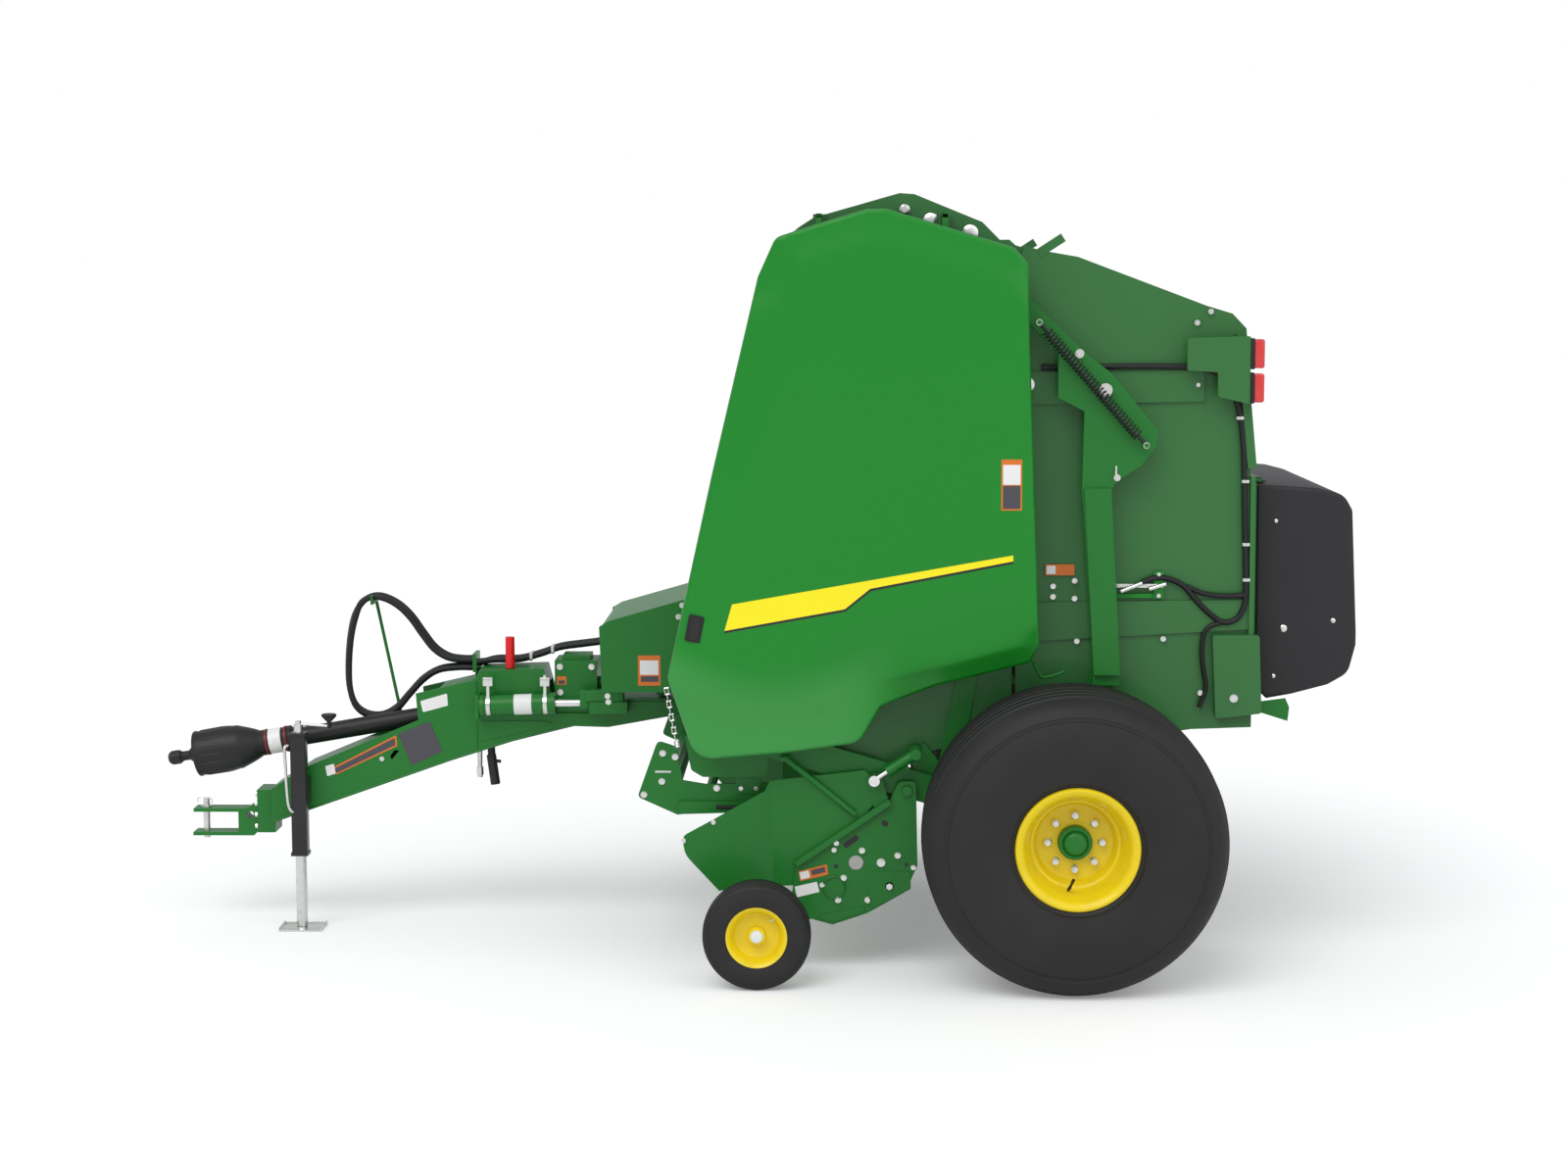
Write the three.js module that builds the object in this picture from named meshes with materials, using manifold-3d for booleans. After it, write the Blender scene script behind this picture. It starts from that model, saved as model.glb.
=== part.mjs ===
// Round baler with a belt chamber, pickup, feed rotor, lifting tailgate and drawbar on a jack.
// Millimetres, +Z up, the drawbar points along -X and the tailgate opens at +X.
// Right-hand pieces are drawn at +Y; left-hand ones are the same pieces mirrored to -Y.
import * as THREE from "three";
import { mergeVertices } from "three/addons/utils/BufferGeometryUtils.js";
import Module from "manifold-3d";

const wasm = await Module();
wasm.setup();

// ---------- driving dimensions ----------
const FIT = 0.3; // gap between pieces that touch
const RUN = 0.9; // radial running clearance of a faceted pin or shaft
const CLEAR = 5; // least air between a moving piece and its neighbours

const chamberWidth = 1570; // between the side sheets
const sheet = 8; // side sheet with its folded edges
const tyreRadius = 568;
const tyreWidth = 540;
const trackHalf = 1120; // centre plane to tyre centre plane
const rimRadius = 231;
const gaugeRadius = 204;
const gaugeWidth = 140;
const gaugeHalf = 1150; // centre plane to gauge wheel centre plane
const shaftTipX = -3659; // foremost point, on the drive shaft
const coverRearX = 1116; // rearmost point, on the wrap cover

const sheetIn = chamberWidth / 2;
const sheetOut = sheetIn + sheet;
const axle = { x: 0, z: tyreRadius };
const gateHinge = { x: -250, z: 2745 };
const coverHinge = { x: 742, z: 1872 };
const rotorAxis = { x: -430, z: 640 };
const pickupPivot = { x: -615, z: 700 };
const reelAxis = { x: -810, z: 420 };
const gaugeAxis = { x: -1183, z: gaugeRadius };

// ---------- finishes ----------
const finish = (color, roughness, metalness) => ({ color, roughness, metalness });
const GREEN = finish(0x2e9036, 0.35, 0.1);
const DARK_GREEN = finish(0x3a7340, 0.45, 0.1);
const YELLOW = finish(0xf2d21c, 0.35, 0.1);
const RUBBER = finish(0x262528, 0.8, 0);
const BELT = finish(0x1c1c1e, 0.85, 0);
const BLACK = finish(0x2e2b2f, 0.55, 0);
const SILVER = finish(0xc9c9c4, 0.3, 0.9);
const RED = finish(0xd3202c, 0.3, 0);
const NET = finish(0xe9ebe6, 0.8, 0);

// ---------- solids ----------
function solid(geometry) {
  const bare = new THREE.BufferGeometry();
  bare.setAttribute("position", geometry.getAttribute("position"));
  bare.setIndex(geometry.index);
  const merged = mergeVertices(bare, 1e-3);
  return new wasm.Manifold(
    new wasm.Mesh({
      numProp: 3,
      vertProperties: new Float32Array(merged.attributes.position.array),
      triVerts: new Uint32Array(merged.index.array),
    }),
  );
}

const join = (...parts) => parts.flat().reduce((all, part) => all.add(part));
const cut = (body, ...tools) => body.subtract(join(...tools));

function box([x0, x1], [y0, y1], [z0, z1]) {
  const block = new THREE.BoxGeometry(x1 - x0, y1 - y0, z1 - z0);
  return solid(block.translate((x0 + x1) / 2, (y0 + y1) / 2, (z0 + z1) / 2));
}

// A cylinder along Y, centred on (x, z).
function rodY(x, z, radius, y0, y1, sides = 16) {
  const rod = new THREE.CylinderGeometry(radius, radius, y1 - y0, sides);
  return solid(rod.translate(x, (y0 + y1) / 2, z));
}

function rodZ(x, y, radius, z0, z1, sides = 16) {
  const rod = new THREE.CylinderGeometry(radius, radius, z1 - z0, sides).rotateX(Math.PI / 2);
  return solid(rod.translate(x, y, (z0 + z1) / 2));
}

function rodBetween(from, to, radius, sides = 12) {
  const a = new THREE.Vector3(...from);
  const b = new THREE.Vector3(...to);
  const along = b.clone().sub(a);
  const rod = new THREE.CylinderGeometry(radius, radius, along.length(), sides);
  const turn = new THREE.Quaternion().setFromUnitVectors(new THREE.Vector3(0, 1, 0), along.clone().normalize());
  const middle = a.clone().add(b).multiplyScalar(0.5);
  return solid(rod.applyQuaternion(turn).translate(middle.x, middle.y, middle.z));
}

// A closed outline; a point's third number rounds its corner.
function outline(points, radius = 0) {
  const shape = new THREE.Shape();
  points.forEach(([x, z, r = radius], i) => {
    const here = new THREE.Vector2(x, z);
    const toward = (other) => {
      const step = new THREE.Vector2(other[0], other[1]).sub(here);
      return here.clone().add(step.setLength(Math.min(r, step.length() * 0.49)));
    };
    const start = r ? toward(points.at(i - 1)) : here;
    if (i) shape.lineTo(start.x, start.y);
    else shape.moveTo(start.x, start.y);
    if (r) {
      const end = toward(points[(i + 1) % points.length]);
      shape.quadraticCurveTo(x, z, end.x, end.y);
    }
  });
  return shape;
}

// A plate in the XZ plane from y0 to y1.
function plate(points, y0, y1, { radius = 0, curve = 3 } = {}) {
  const options = { depth: y1 - y0, bevelEnabled: false, curveSegments: curve };
  const body = new THREE.ExtrudeGeometry(outline(points, radius), options);
  return solid(body.rotateX(Math.PI / 2).translate(0, y1, 0));
}

// A straight bar in the XZ plane.
function strut([x0, z0], [x1, z1], width, y0, y1) {
  const side = new THREE.Vector2(z0 - z1, x1 - x0).setLength(width / 2);
  const corners = [
    [x0 + side.x, z0 + side.y],
    [x0 - side.x, z0 - side.y],
    [x1 - side.x, z1 - side.y],
    [x1 + side.x, z1 + side.y],
  ];
  return plate(corners, y0, y1);
}

// A profile of (radius, y) points turned about the Y axis.
function turned(profile, sides) {
  const points = profile.map(([r, y]) => new THREE.Vector2(r, y));
  if (THREE.ShapeUtils.area(points) < 0) points.reverse();
  return solid(new THREE.LatheGeometry(points, sides));
}

const closed = (points) => [...points, points[0]];

// An outline moved inwards by the same distance all round, for straight-edged outlines.
function inset(points, distance) {
  const turn = Math.sign(THREE.ShapeUtils.area(points.map(([x, z]) => new THREE.Vector2(x, z))));
  return points.map(([x, z, r], i) => {
    const [bx, bz] = points.at(i - 1);
    const [ax, az] = points[(i + 1) % points.length];
    const before = new THREE.Vector2(x - bx, z - bz).normalize();
    const after = new THREE.Vector2(ax - x, az - z).normalize();
    const inward = new THREE.Vector2(-before.y - after.y, before.x + after.x).multiplyScalar(turn);
    inward.setLength(1);
    const lean = (inward.y * before.x - inward.x * before.y) * turn;
    inward.multiplyScalar(distance / Math.max(lean, 0.5));
    return r === undefined ? [x + inward.x, z + inward.y] : [x + inward.x, z + inward.y, Math.max(r - distance, 1)];
  });
}

function hose(points, radius, steps) {
  const sides = 8;
  const path = new THREE.CatmullRomCurve3(points.map((p) => new THREE.Vector3(...p)));
  const ring = Array.from({ length: sides }, (_, i) => {
    const angle = (2 * Math.PI * i) / sides;
    return new THREE.Vector2(radius * Math.cos(angle), radius * Math.sin(angle));
  });
  const options = { steps, bevelEnabled: false, extrudePath: path };
  return solid(new THREE.ExtrudeGeometry(new THREE.Shape(ring), options));
}

// ---------- the model ----------
const model = new THREE.Group();

function add(name, body, look, place = model) {
  const { vertProperties, triVerts } = body.getMesh();
  const geometry = new THREE.BufferGeometry();
  geometry.setAttribute("position", new THREE.BufferAttribute(vertProperties, 3));
  geometry.setIndex(new THREE.BufferAttribute(triVerts, 1));
  const mesh = new THREE.Mesh(geometry, new THREE.MeshStandardMaterial({ ...look, flatShading: true }));
  mesh.name = name;
  place.add(mesh);
  return mesh;
}

function addPair(name, body, look) {
  add(`right_${name}`, body, look);
  add(`left_${name}`, body, look).scale.y = -1;
}

// Both sides of one piece that spans the machine.
function both(body) {
  const { vertProperties, triVerts } = body.getMesh();
  const geometry = new THREE.BufferGeometry();
  const mirrored = vertProperties.map((value, i) => (i % 3 === 1 ? -value : value));
  const flipped = triVerts.map((_, i) => triVerts[i - (i % 3) + [0, 2, 1][i % 3]]);
  geometry.setAttribute("position", new THREE.BufferAttribute(mirrored, 3));
  geometry.setIndex(new THREE.BufferAttribute(flipped, 1));
  return body.add(solid(geometry));
}

// ---------- wheels ----------
const hubRadius = 69;
const spindleRadius = 30;
const discY = 70; // disc's outer face, from the wheel's centre plane
const beadHalf = 225;
const wheelSides = 28;
const gaugeSides = 20;

// A wheel of so many sides stands on a flat: its corners lie this much further out.
const overFlats = (radius, sides) => radius / Math.cos(Math.PI / sides);

function tyreProfile() {
  const half = tyreWidth / 2;
  const bead = rimRadius - 13;
  const tread = overFlats(tyreRadius, wheelSides);
  const side = [
    [bead, beadHalf - 2],
    [rimRadius + 4, beadHalf + 4],
    [rimRadius + 70, half - 8],
    [rimRadius + 170, half],
    [tread - 70, half - 20],
    [tread - 20, half - 65],
    [tread, half - 150],
  ];
  const other = side.map(([r, y]) => [r, -y]).reverse();
  return closed([...side, ...other]);
}

function rimBody() {
  const well = rimRadius - 13 - FIT;
  const barrel = turned(
    closed([
      [rimRadius, beadHalf + 15],
      [rimRadius, beadHalf + 4],
      [well, beadHalf - 1],
      [well, -beadHalf - 15],
      [well - 12, -beadHalf - 15],
      [well - 12, beadHalf + 15],
    ]),
    wheelSides,
  );
  const disc = turned(
    closed([
      [hubRadius - 20, discY - 14],
      [well - 6, discY - 14],
      [well - 6, discY + 26],
      [well - 60, discY],
      [hubRadius - 20, discY],
    ]),
    wheelSides,
  );
  const hub = rodY(0, 0, hubRadius, -20, discY + 60, 16);
  const bore = rodY(0, 0, spindleRadius + RUN, -30, 100, 16);
  return cut(join(barrel, disc, hub), bore);
}

const tyreBody = turned(tyreProfile(), wheelSides);
const rim = rimBody();

for (const [side, sign] of [["right", 1], ["left", -1]]) {
  const wheel = new THREE.Group();
  wheel.position.set(axle.x, sign * trackHalf, axle.z);
  wheel.rotation.y = Math.PI / wheelSides;
  wheel.scale.y = sign;
  model.add(wheel);
  add(`${side}_tyre`, tyreBody, RUBBER, wheel);
  add(`${side}_rim`, rim, YELLOW, wheel);
}

const gaugeRim = 112;
const gaugeSpindle = 15;
const gaugeTread = overFlats(gaugeRadius, gaugeSides);
const gaugeTyre = turned(
  closed([
    [gaugeRim + FIT, -48],
    [gaugeRim + 30, -gaugeWidth / 2 + 4],
    [gaugeTread - 40, -gaugeWidth / 2],
    [gaugeTread - 8, -gaugeWidth / 2 + 24],
    [gaugeTread, -gaugeWidth / 4 + 8],
    [gaugeTread, gaugeWidth / 4 - 8],
    [gaugeTread - 8, gaugeWidth / 2 - 24],
    [gaugeTread - 40, gaugeWidth / 2],
    [gaugeRim + 30, gaugeWidth / 2 - 4],
    [gaugeRim + FIT, 48],
  ]),
  gaugeSides,
);
const gaugeHub = cut(
  join(
    turned(closed([[gaugeRim, -52], [gaugeRim, 52], [gaugeRim - 6, 52], [gaugeRim - 6, -52]]), gaugeSides),
    turned(closed([[20, -6], [gaugeRim - 3, -6], [gaugeRim - 3, 4], [20, 14]]), gaugeSides),
    rodY(0, 0, 34, -50, 34, 16),
  ),
  rodY(0, 0, gaugeSpindle + RUN, -60, 20, 12),
);

for (const [side, sign] of [["right", 1], ["left", -1]]) {
  const wheel = new THREE.Group();
  wheel.position.set(gaugeAxis.x, sign * gaugeHalf, gaugeAxis.z);
  wheel.rotation.y = Math.PI / gaugeSides;
  wheel.scale.y = sign;
  model.add(wheel);
  add(`${side}_gauge_tyre`, gaugeTyre, RUBBER, wheel);
  add(`${side}_gauge_rim`, gaugeHub, YELLOW, wheel);
}

// ---------- main frame ----------
const railIn = sheetOut + FIT;
const railOut = railIn + 48;
const postIn = 868;
const postOut = 905;
const pickupPlateIn = 860;
const pickupPlateOut = 872;
const cylinderY = 836; // gate cylinders' centre plane
const gateRamRadius = 26;
const gateRam = { x: -380, z: 1150 }; // lower pin of a gate cylinder
const gateLug = { x: -165, z: 2250 }; // its pin on the gate
const liftRam = { x: -584, z: 849 }; // upper pin of a pickup lift cylinder
const liftLug = { x: -741, z: 747 }; // its pin on the pickup
const pivotPin = 20;
const beamX = [-1410, -1300];
const beamZ = [880, 1000];

const spindle = join(
  rodY(axle.x, axle.z, 50, 780, trackHalf - 20 - CLEAR, 12),
  rodY(axle.x, axle.z, spindleRadius, trackHalf - 30, trackHalf + 95, 16),
);
const sideRail = join(
  strut([0, 585], [-520, 700], 130, railIn, railOut),
  strut([-500, 690], [-1350, 940], 110, railIn, railOut),
  box([beamX[0], beamX[1]], [sheetIn - 60, railOut], beamZ),
  rodY(rotorAxis.x, rotorAxis.z, 70, railIn, railOut, 12),
  rodY(pickupPivot.x, pickupPivot.z, 32, railIn, pickupPlateIn - FIT, 12),
  rodY(pickupPivot.x, pickupPivot.z, pivotPin, railIn, pickupPlateOut + 12, 12),
  strut([0, 585], [130, 1150], 92, railIn + 12, railOut),
  box([88, 190], [railIn + 12, postIn + 10], [1108, 1150]),
  rodY(liftRam.x, liftRam.z, 26, railIn, 884.5, 10),
  strut([-470, 705], [liftRam.x, liftRam.z], 90, railIn, railIn + 20),
  rodY(gateRam.x, gateRam.z, 26, railIn, cylinderY - gateRamRadius - FIT, 10),
  strut([-470, 705], [gateRam.x, gateRam.z], 80, railIn, railIn + 10),
);
const frameHalf = join(
  spindle,
  sideRail,
  box([-75, 75], [-1, 850], [axle.z - 75, axle.z + 75]),
  box(beamX, [-1, railOut], beamZ),
);
const rotorBore = rodY(rotorAxis.x, rotorAxis.z, 35 + RUN, 700, railIn + 10, 16);
add("main_frame", both(cut(frameHalf, rotorBore)), GREEN);

// ---------- chamber sides ----------
const frameEdge = -214; // rear edge of the fixed side sheet
const gateEdge = -200; // front edge of the gate's side sheet
const hingePin = 20;
const noseRadius = 50;
const nose = [112, 70, 25, -15].map((degrees) => {
  const angle = THREE.MathUtils.degToRad(degrees);
  return [gateHinge.x + noseRadius * Math.cos(angle), gateHinge.z + noseRadius * Math.sin(angle)];
});
const sideOutline = [
  [-1090, 2790],
  [-1027, 2840],
  [-971, 2876],
  [-647, 2967],
  [-591, 2963],
  [-335, 2858],
  ...nose,
  [frameEdge, 2700],
  [frameEdge, 1700],
  [frameEdge, 905],
  [-330, 880],
  [-485, 850],
  [-766, 770],
  [-1056, 812],
  [beamX[1] + FIT, 872],
  [beamX[1] + FIT, beamZ[1] + FIT],
  [-1420, beamZ[1] + FIT],
  [-1425, 1290],
];
const rollerSteps = { drum: sheetIn - 25, end: sheetIn - FIT, journal: 20 };
const shieldHingeZ = 2880;
const shieldHingeY = 840;
const shieldHingeX = [-950, -480];

const shieldBracket = shieldHingeX.map((x) =>
  join(
    box([x - 22, x + 22], [sheetOut - 2, shieldHingeY + 8], [shieldHingeZ - 50, shieldHingeZ - 38]),
    box([x - 22, x - 12], [sheetOut - 2, shieldHingeY + 8], [shieldHingeZ - 50, shieldHingeZ + 8]),
    box([x + 12, x + 22], [sheetOut - 2, shieldHingeY + 8], [shieldHingeZ - 50, shieldHingeZ + 8]),
    rodBetween([x - 20, shieldHingeY, shieldHingeZ], [x + 20, shieldHingeY, shieldHingeZ], 5, 10),
  ),
);
const armBoss = { x: -258, z: 2560 };
const sidePanel = cut(
  join(
    plate(sideOutline, sheetIn, sheetOut),
    shieldBracket,
    strut([-1095, 2700], [-1425, 1290], 60, sheetOut - 1, sheetOut + 14),
    strut([-1020, 2822], [-1020, 2700], 50, sheetOut - 1, shieldHingeY - 20),
    rodY(armBoss.x, armBoss.z, 22, sheetOut - 1, postIn - FIT, 16),
    box([-700, -560], [sheetOut - 1, 880], [1350, 1390]),
  ),
  rodY(gateHinge.x, gateHinge.z, hingePin + RUN, 700, 900, 20),
  box([-1040, -995], [railIn + 8, 900], [2690, 2832]),
);
addPair("side_panel", sidePanel, DARK_GREEN);

// ---------- gate ----------
const bandOut = sheetOut + 12;
const gateOutline = [
  [gateEdge, 2680],
  [-178, 2772],
  [-122, 2753],
  [26, 2727],
  [514, 2542],
  [610, 2513],
  [663, 2457],
  [686, 2169],
  [686, 1920],
  [703, 1471],
  [703, 1283],
  [703, 935],
  [473, 927],
  [-40, 850],
  [gateEdge, 900],
];
const gateSide = join(
  plate(gateOutline, sheetIn, sheetOut),
  plate(
    [[gateHinge.x - 32, 2725], [gateHinge.x - 32, 2775], [gateHinge.x, 2785], [-130, 2745], [-130, 2640], [-190, 2640]],
    sheetIn - 17,
    sheetIn - CLEAR,
    { radius: 12 },
  ),
  box([-190, -135], [sheetIn - 17, sheetIn + 2], [2645, 2735]),
  rodY(gateHinge.x, gateHinge.z, hingePin, sheetIn - 17, sheetOut + 6, 20),
  strut([-123, 2740], [-30, 2800], 34, sheetIn, sheetOut + 2),
  plate([[-176, 2294], [505, 2300], [507, 2182], [-176, 2172]], sheetOut - 1, bandOut),
  plate([[-176, 1417], [703, 1428], [703, 1315], [-176, 1266]], sheetOut - 1, bandOut),
  rodY(gateLug.x, gateLug.z, 24, sheetOut - 1, cylinderY - gateRamRadius - FIT, 10),
  strut([640, 2440], [690, 1930], 34, sheetOut - 1, sheetOut + 22),
  strut([694, 1900], [694, 1290], 18, sheetOut - 1, sheetOut + 26),
);
const lampPlate = join(
  plate([[432, 2423], [432, 2302], [547, 2295], [548, 2203], [668, 2175], [668, 2430]], 868, 880, { radius: 8 }),
  box([656, 668], [sheetOut - 1, 880], [2185, 2425]),
  box([470, 668], [sheetOut - 1, 870], [2404, 2414]),
);
const lowBox = cut(
  plate([[546, 1295], [724, 1295], [736, 994], [561, 975]], sheetOut - 1, 838, { radius: 12 }),
  box([565, 715], [sheetOut + 4, 828], [900, 1280]),
);
addPair("gate_side", join(gateSide, lampPlate, lowBox), DARK_GREEN);

const lampX = [668 + FIT, 722];
const lampRows = [[2313, 2422], [2177, 2283]];
const lamps = join(
  lampRows.map(([z0, z1]) => box(lampX, [818, 884], [z0, z1])),
  box([lampX[0], lampX[0] + 12], [822, 872], [2190, 2410]),
);
addPair("rear_lamps", lamps, RED);

// Cross members, the wrap gear's side posts and the ears under the cover.
const wrapPostY = [660, 760];
const gateCrossHalf = join(
  box([664, 703 - FIT], [-1, sheetIn - FIT], [1000, 1100]),
  box([645, 680], [-1, sheetIn - FIT], [2180, 2260]),
  box([684, 716], [wrapPostY[0], wrapPostY[1]], [1080, 1868]),
  box([664, 692], [wrapPostY[0], wrapPostY[0] + 34], [1850, 2190]),
  plate([[700, 1060], [755, 1023], [845, 1035], [860, 1000], [854, 947], [756, 978], [700, 990]], 706, 718),
  box([664, 716], [700, 765], [1040, 1100]),
);
const coverKnuckle = join(
  box([690, coverHinge.x + 8], [640, 660], [coverHinge.z - 5, coverHinge.z + 8]),
  box([690, 712], [640, wrapPostY[0] + 14], [coverHinge.z - 18, coverHinge.z + 8]),
  rodY(coverHinge.x, coverHinge.z, 6, 600, 656, 12),
);
add("gate_frame", both(join(gateCrossHalf, coverKnuckle)), GREEN);

const wrapHalf = join(
  box([716 + FIT, 1000], [600, 612], [1160, 1620]),
  rodY(870, 1400, 95, -1, 602, 16),
  rodY(950, 1220, 35, -1, 602, 12),
  rodY(770, 1560, 30, -1, 602, 12),
  box([716 + FIT, 745], [610, 686], [1180, 1600]),
);
add("wrap_rolls", both(wrapHalf), NET);

const coverOutline = [
  [724, 1862, 2],
  [958, 1846, 20],
  [1060, 1820, 60],
  [1094, 1760, 40],
  [coverRearX, 1290],
  [coverRearX, 1240, 30],
  [1088, 1130, 60],
  [1010, 1085, 40],
  [870, 1048, 20],
  [774, 1031, 10],
  [724, 1080, 2],
];
const coverHalfWidth = 700;
const coverWall = 8;
const coverShell = cut(
  plate(coverOutline, -coverHalfWidth, coverHalfWidth),
  plate(inset(coverOutline, coverWall), -coverHalfWidth + coverWall, coverHalfWidth - coverWall),
  box([700, 732], [-900, 900], [1000, 1900]),
);
const coverHingeEye = both(
  join(
    cut(
      rodY(coverHinge.x, coverHinge.z, 13, 600, 639, 16),
      rodY(coverHinge.x, coverHinge.z, 6 + RUN, 590, 650, 16),
    ),
    box([coverHinge.x + 6, coverHinge.x + 18], [600, 639], [1850, coverHinge.z + 2]),
    box([coverHinge.x + 6, coverHinge.x + 18], [-1, 601], [1850, 1868]),
  ),
);
add("wrap_cover", join(coverShell, coverHingeEye), BLACK);

// ---------- belts on their rollers ----------
const beltThickness = 7;
const beltCount = 6;
const beltPitch = 250;
const beltWidth = 228;

// The outline of a tight belt round rollers given in order, at a distance outside their drums.
function beltOutline(rollers, outside) {
  const points = [];
  rollers.forEach((roller, i) => {
    const turns = [rollers.at(i - 1), rollers[(i + 1) % rollers.length]].map((other, k) => {
      const from = k ? roller : other;
      const to = k ? other : roller;
      const run = new THREE.Vector2(to.x - from.x, to.z - from.z);
      const slope = Math.asin((from.r - to.r) / run.length());
      return run.angle() + Math.PI / 2 - slope;
    });
    let sweep = turns[0] - turns[1];
    while (sweep < 0) sweep += 2 * Math.PI;
    const steps = Math.max(1, Math.round(sweep / 1.3));
    for (let k = 0; k <= steps; k += 1) {
      const angle = turns[0] - (sweep * k) / steps;
      const reach = (roller.r + outside) / (k === 0 || k === steps ? 1 : Math.cos(sweep / steps / 2));
      points.push([roller.x + reach * Math.cos(angle), roller.z + reach * Math.sin(angle)]);
    }
  });
  return points;
}

function beltLoop(rollers) {
  const belts = Array.from({ length: beltCount }, (_, i) => {
    const y = (i - beltCount / 2) * beltPitch + (beltPitch - beltWidth) / 2;
    const whole = plate(beltOutline(rollers, beltThickness), y, y + beltWidth);
    return cut(whole, plate(beltOutline(rollers, 0), y - 1, y + beltWidth + 1));
  });
  const drums = rollers.map(({ x, z, r }) =>
    join(
      rodY(x, z, r + 1, -rollerSteps.drum, rollerSteps.drum, 8),
      rodY(x, z, rollerSteps.journal, -rollerSteps.end, rollerSteps.end, 6),
    ),
  );
  return join(belts, drums);
}

// Clockwise seen from the left side (-Y).
const frontRollers = [
  { x: -628, z: 2905, r: 50 },
  { x: -332, z: 2755, r: 45 },
  { x: -640, z: 1010, r: 55 },
  { x: -1320, z: 1260, r: 50 },
  { x: -1000, z: 2765, r: 50 },
];
const gateRollers = [
  { x: -105, z: 2650, r: 45 },
  { x: 560, z: 2425, r: 50 },
  { x: 590, z: 1085, r: 50 },
  { x: -70, z: 970, r: 55 },
];
add("front_belts", beltLoop(frontRollers), BELT);
add("gate_belts", beltLoop(gateRollers), BELT);

const frontPanel = join(
  strut([-1112, 2640], [-1432, 1290], 8, -sheetIn + FIT, sheetIn - FIT),
  strut([-1240, 2100], [-1250, 2060], 60, -sheetIn + FIT, sheetIn - FIT),
);
add("front_panel", frontPanel, GREEN);

// ---------- shields ----------
const shieldIn = 900;
const shieldOut = 1005;
const shieldCrown = 34; // how far the raised panel stands out
const shieldWall = 12;
const shieldRim = 24; // folded rim all round the shield
const shieldOutline = [
  [-1176, 2655, 60],
  [-1110, 2800, 50],
  [-960, 2848, 40],
  [-770, 2904, 30],
  [-698, 2904, 30],
  [-225, 2760, 60],
  [-172, 2700, 30],
  [-168, 2478, 2],
  [-123, 1272, 30],
  [-160, 1210, 30],
  [-516, 1122, 2],
  [-655, 1069, 60],
  [-716, 1045, 40],
  [-798, 905, 70],
  [-1080, 866, 2],
  [-1416, 838, 90],
  [-1522, 1151, 40],
  [-1350, 1924, 2],
];
const crownOutline = [
  [-1010, 2600, 60],
  [-900, 2700, 60],
  [-260, 2630, 40],
  [-225, 1690, 30],
  [-1225, 1500, 40],
];

// A low crown with sloping flanks: one outline at its foot and the same one drawn in at its top.
function crown(points, y0, height, slope) {
  const rings = [points, inset(points, slope)].map((ring) => outline(ring).getPoints(2));
  if (THREE.ShapeUtils.isClockWise(rings[0])) rings.forEach((ring) => ring.reverse());
  const count = rings[0].length;
  const positions = rings.flatMap((ring, k) => ring.flatMap((p) => [p.x, y0 + k * height, p.y]));
  const index = [];
  rings.forEach((ring, k) => {
    THREE.ShapeUtils.triangulateShape(ring, []).forEach(([p, q, r]) => {
      const face = k ? [p, r, q] : [p, q, r];
      index.push(...face.map((corner) => corner + k * count));
    });
  });
  for (let i = 0; i < count; i += 1) {
    const j = (i + 1) % count;
    index.push(j, i, i + count, j, i + count, j + count);
  }
  const geometry = new THREE.BufferGeometry();
  geometry.setAttribute("position", new THREE.Float32BufferAttribute(positions, 3));
  geometry.setIndex(index);
  return solid(geometry);
}

const shieldSkin = cut(
  join(
    plate(shieldOutline, shieldIn, shieldOut - 24, { curve: 2 }),
    crown(shieldOutline, shieldOut - 25, 24, 26),
    crown(crownOutline, shieldOut - 6, shieldCrown + 6, 70),
  ),
  plate(inset(shieldOutline, shieldRim), shieldIn - 60, shieldOut - shieldWall, { curve: 2 }),
);
const shieldArms = shieldHingeX.map((x) =>
  cut(
    join(
      box([x - 11, x + 11], [shieldHingeY - 9, shieldIn + 30], [shieldHingeZ - 9, shieldHingeZ + 9]),
      box([x - 11, x + 11], [shieldIn + 4, shieldIn + 30], [2790, shieldHingeZ + 9]),
    ),
    rodBetween([x - 20, shieldHingeY, shieldHingeZ], [x + 20, shieldHingeY, shieldHingeZ], 5 + RUN, 10),
  ),
);
addPair("side_shield", join(shieldSkin, shieldArms), GREEN);

// ---------- uprights with their spring arms ----------
const springFrom = { x: -128, z: 2484 };
const springTo = { x: 276, z: 2024 };
const springY = 930;
const armOutline = [
  [-285, 2600],
  [-240, 2640],
  [-150, 2560],
  [60, 2360],
  [150, 2290],
  [322, 2078],
  [320, 2020],
  [263, 1946],
  [172, 1888],
  [150, 1854],
  [187, 1150.5],
  [94, 1150.5],
  [40, 1854],
  [47, 2150],
  [-52, 2200],
  [-53, 2370],
  [-200, 2520],
  [-285, 2540],
];
const upright = join(
  plate(armOutline, postIn, postOut - 12),
  plate([[48, 1860], [150, 1860], [190, 1150.5], [90, 1150.5]], postIn, postOut),
  rodY(springFrom.x, springFrom.z, 9, postIn + 5, springY + 26, 10),
  rodY(springTo.x, springTo.z, 9, postIn + 5, springY + 26, 10),
  rodY(124, 2232, 20, postIn + 5, postOut + 4, 12),
);
addPair("upright", upright, GREEN);

const springAxis = new THREE.Vector2(springTo.x - springFrom.x, springTo.z - springFrom.z).normalize();
const springInset = 9 + FIT;
const springEnds = [springFrom, springTo].map(({ x, z }, i) => {
  const step = springInset * (i ? -1 : 1);
  return [x + springAxis.x * step, springY, z + springAxis.y * step];
});
addPair("tension_spring", rodBetween(springEnds[0], springEnds[1], 20, 10), BLACK);

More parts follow.
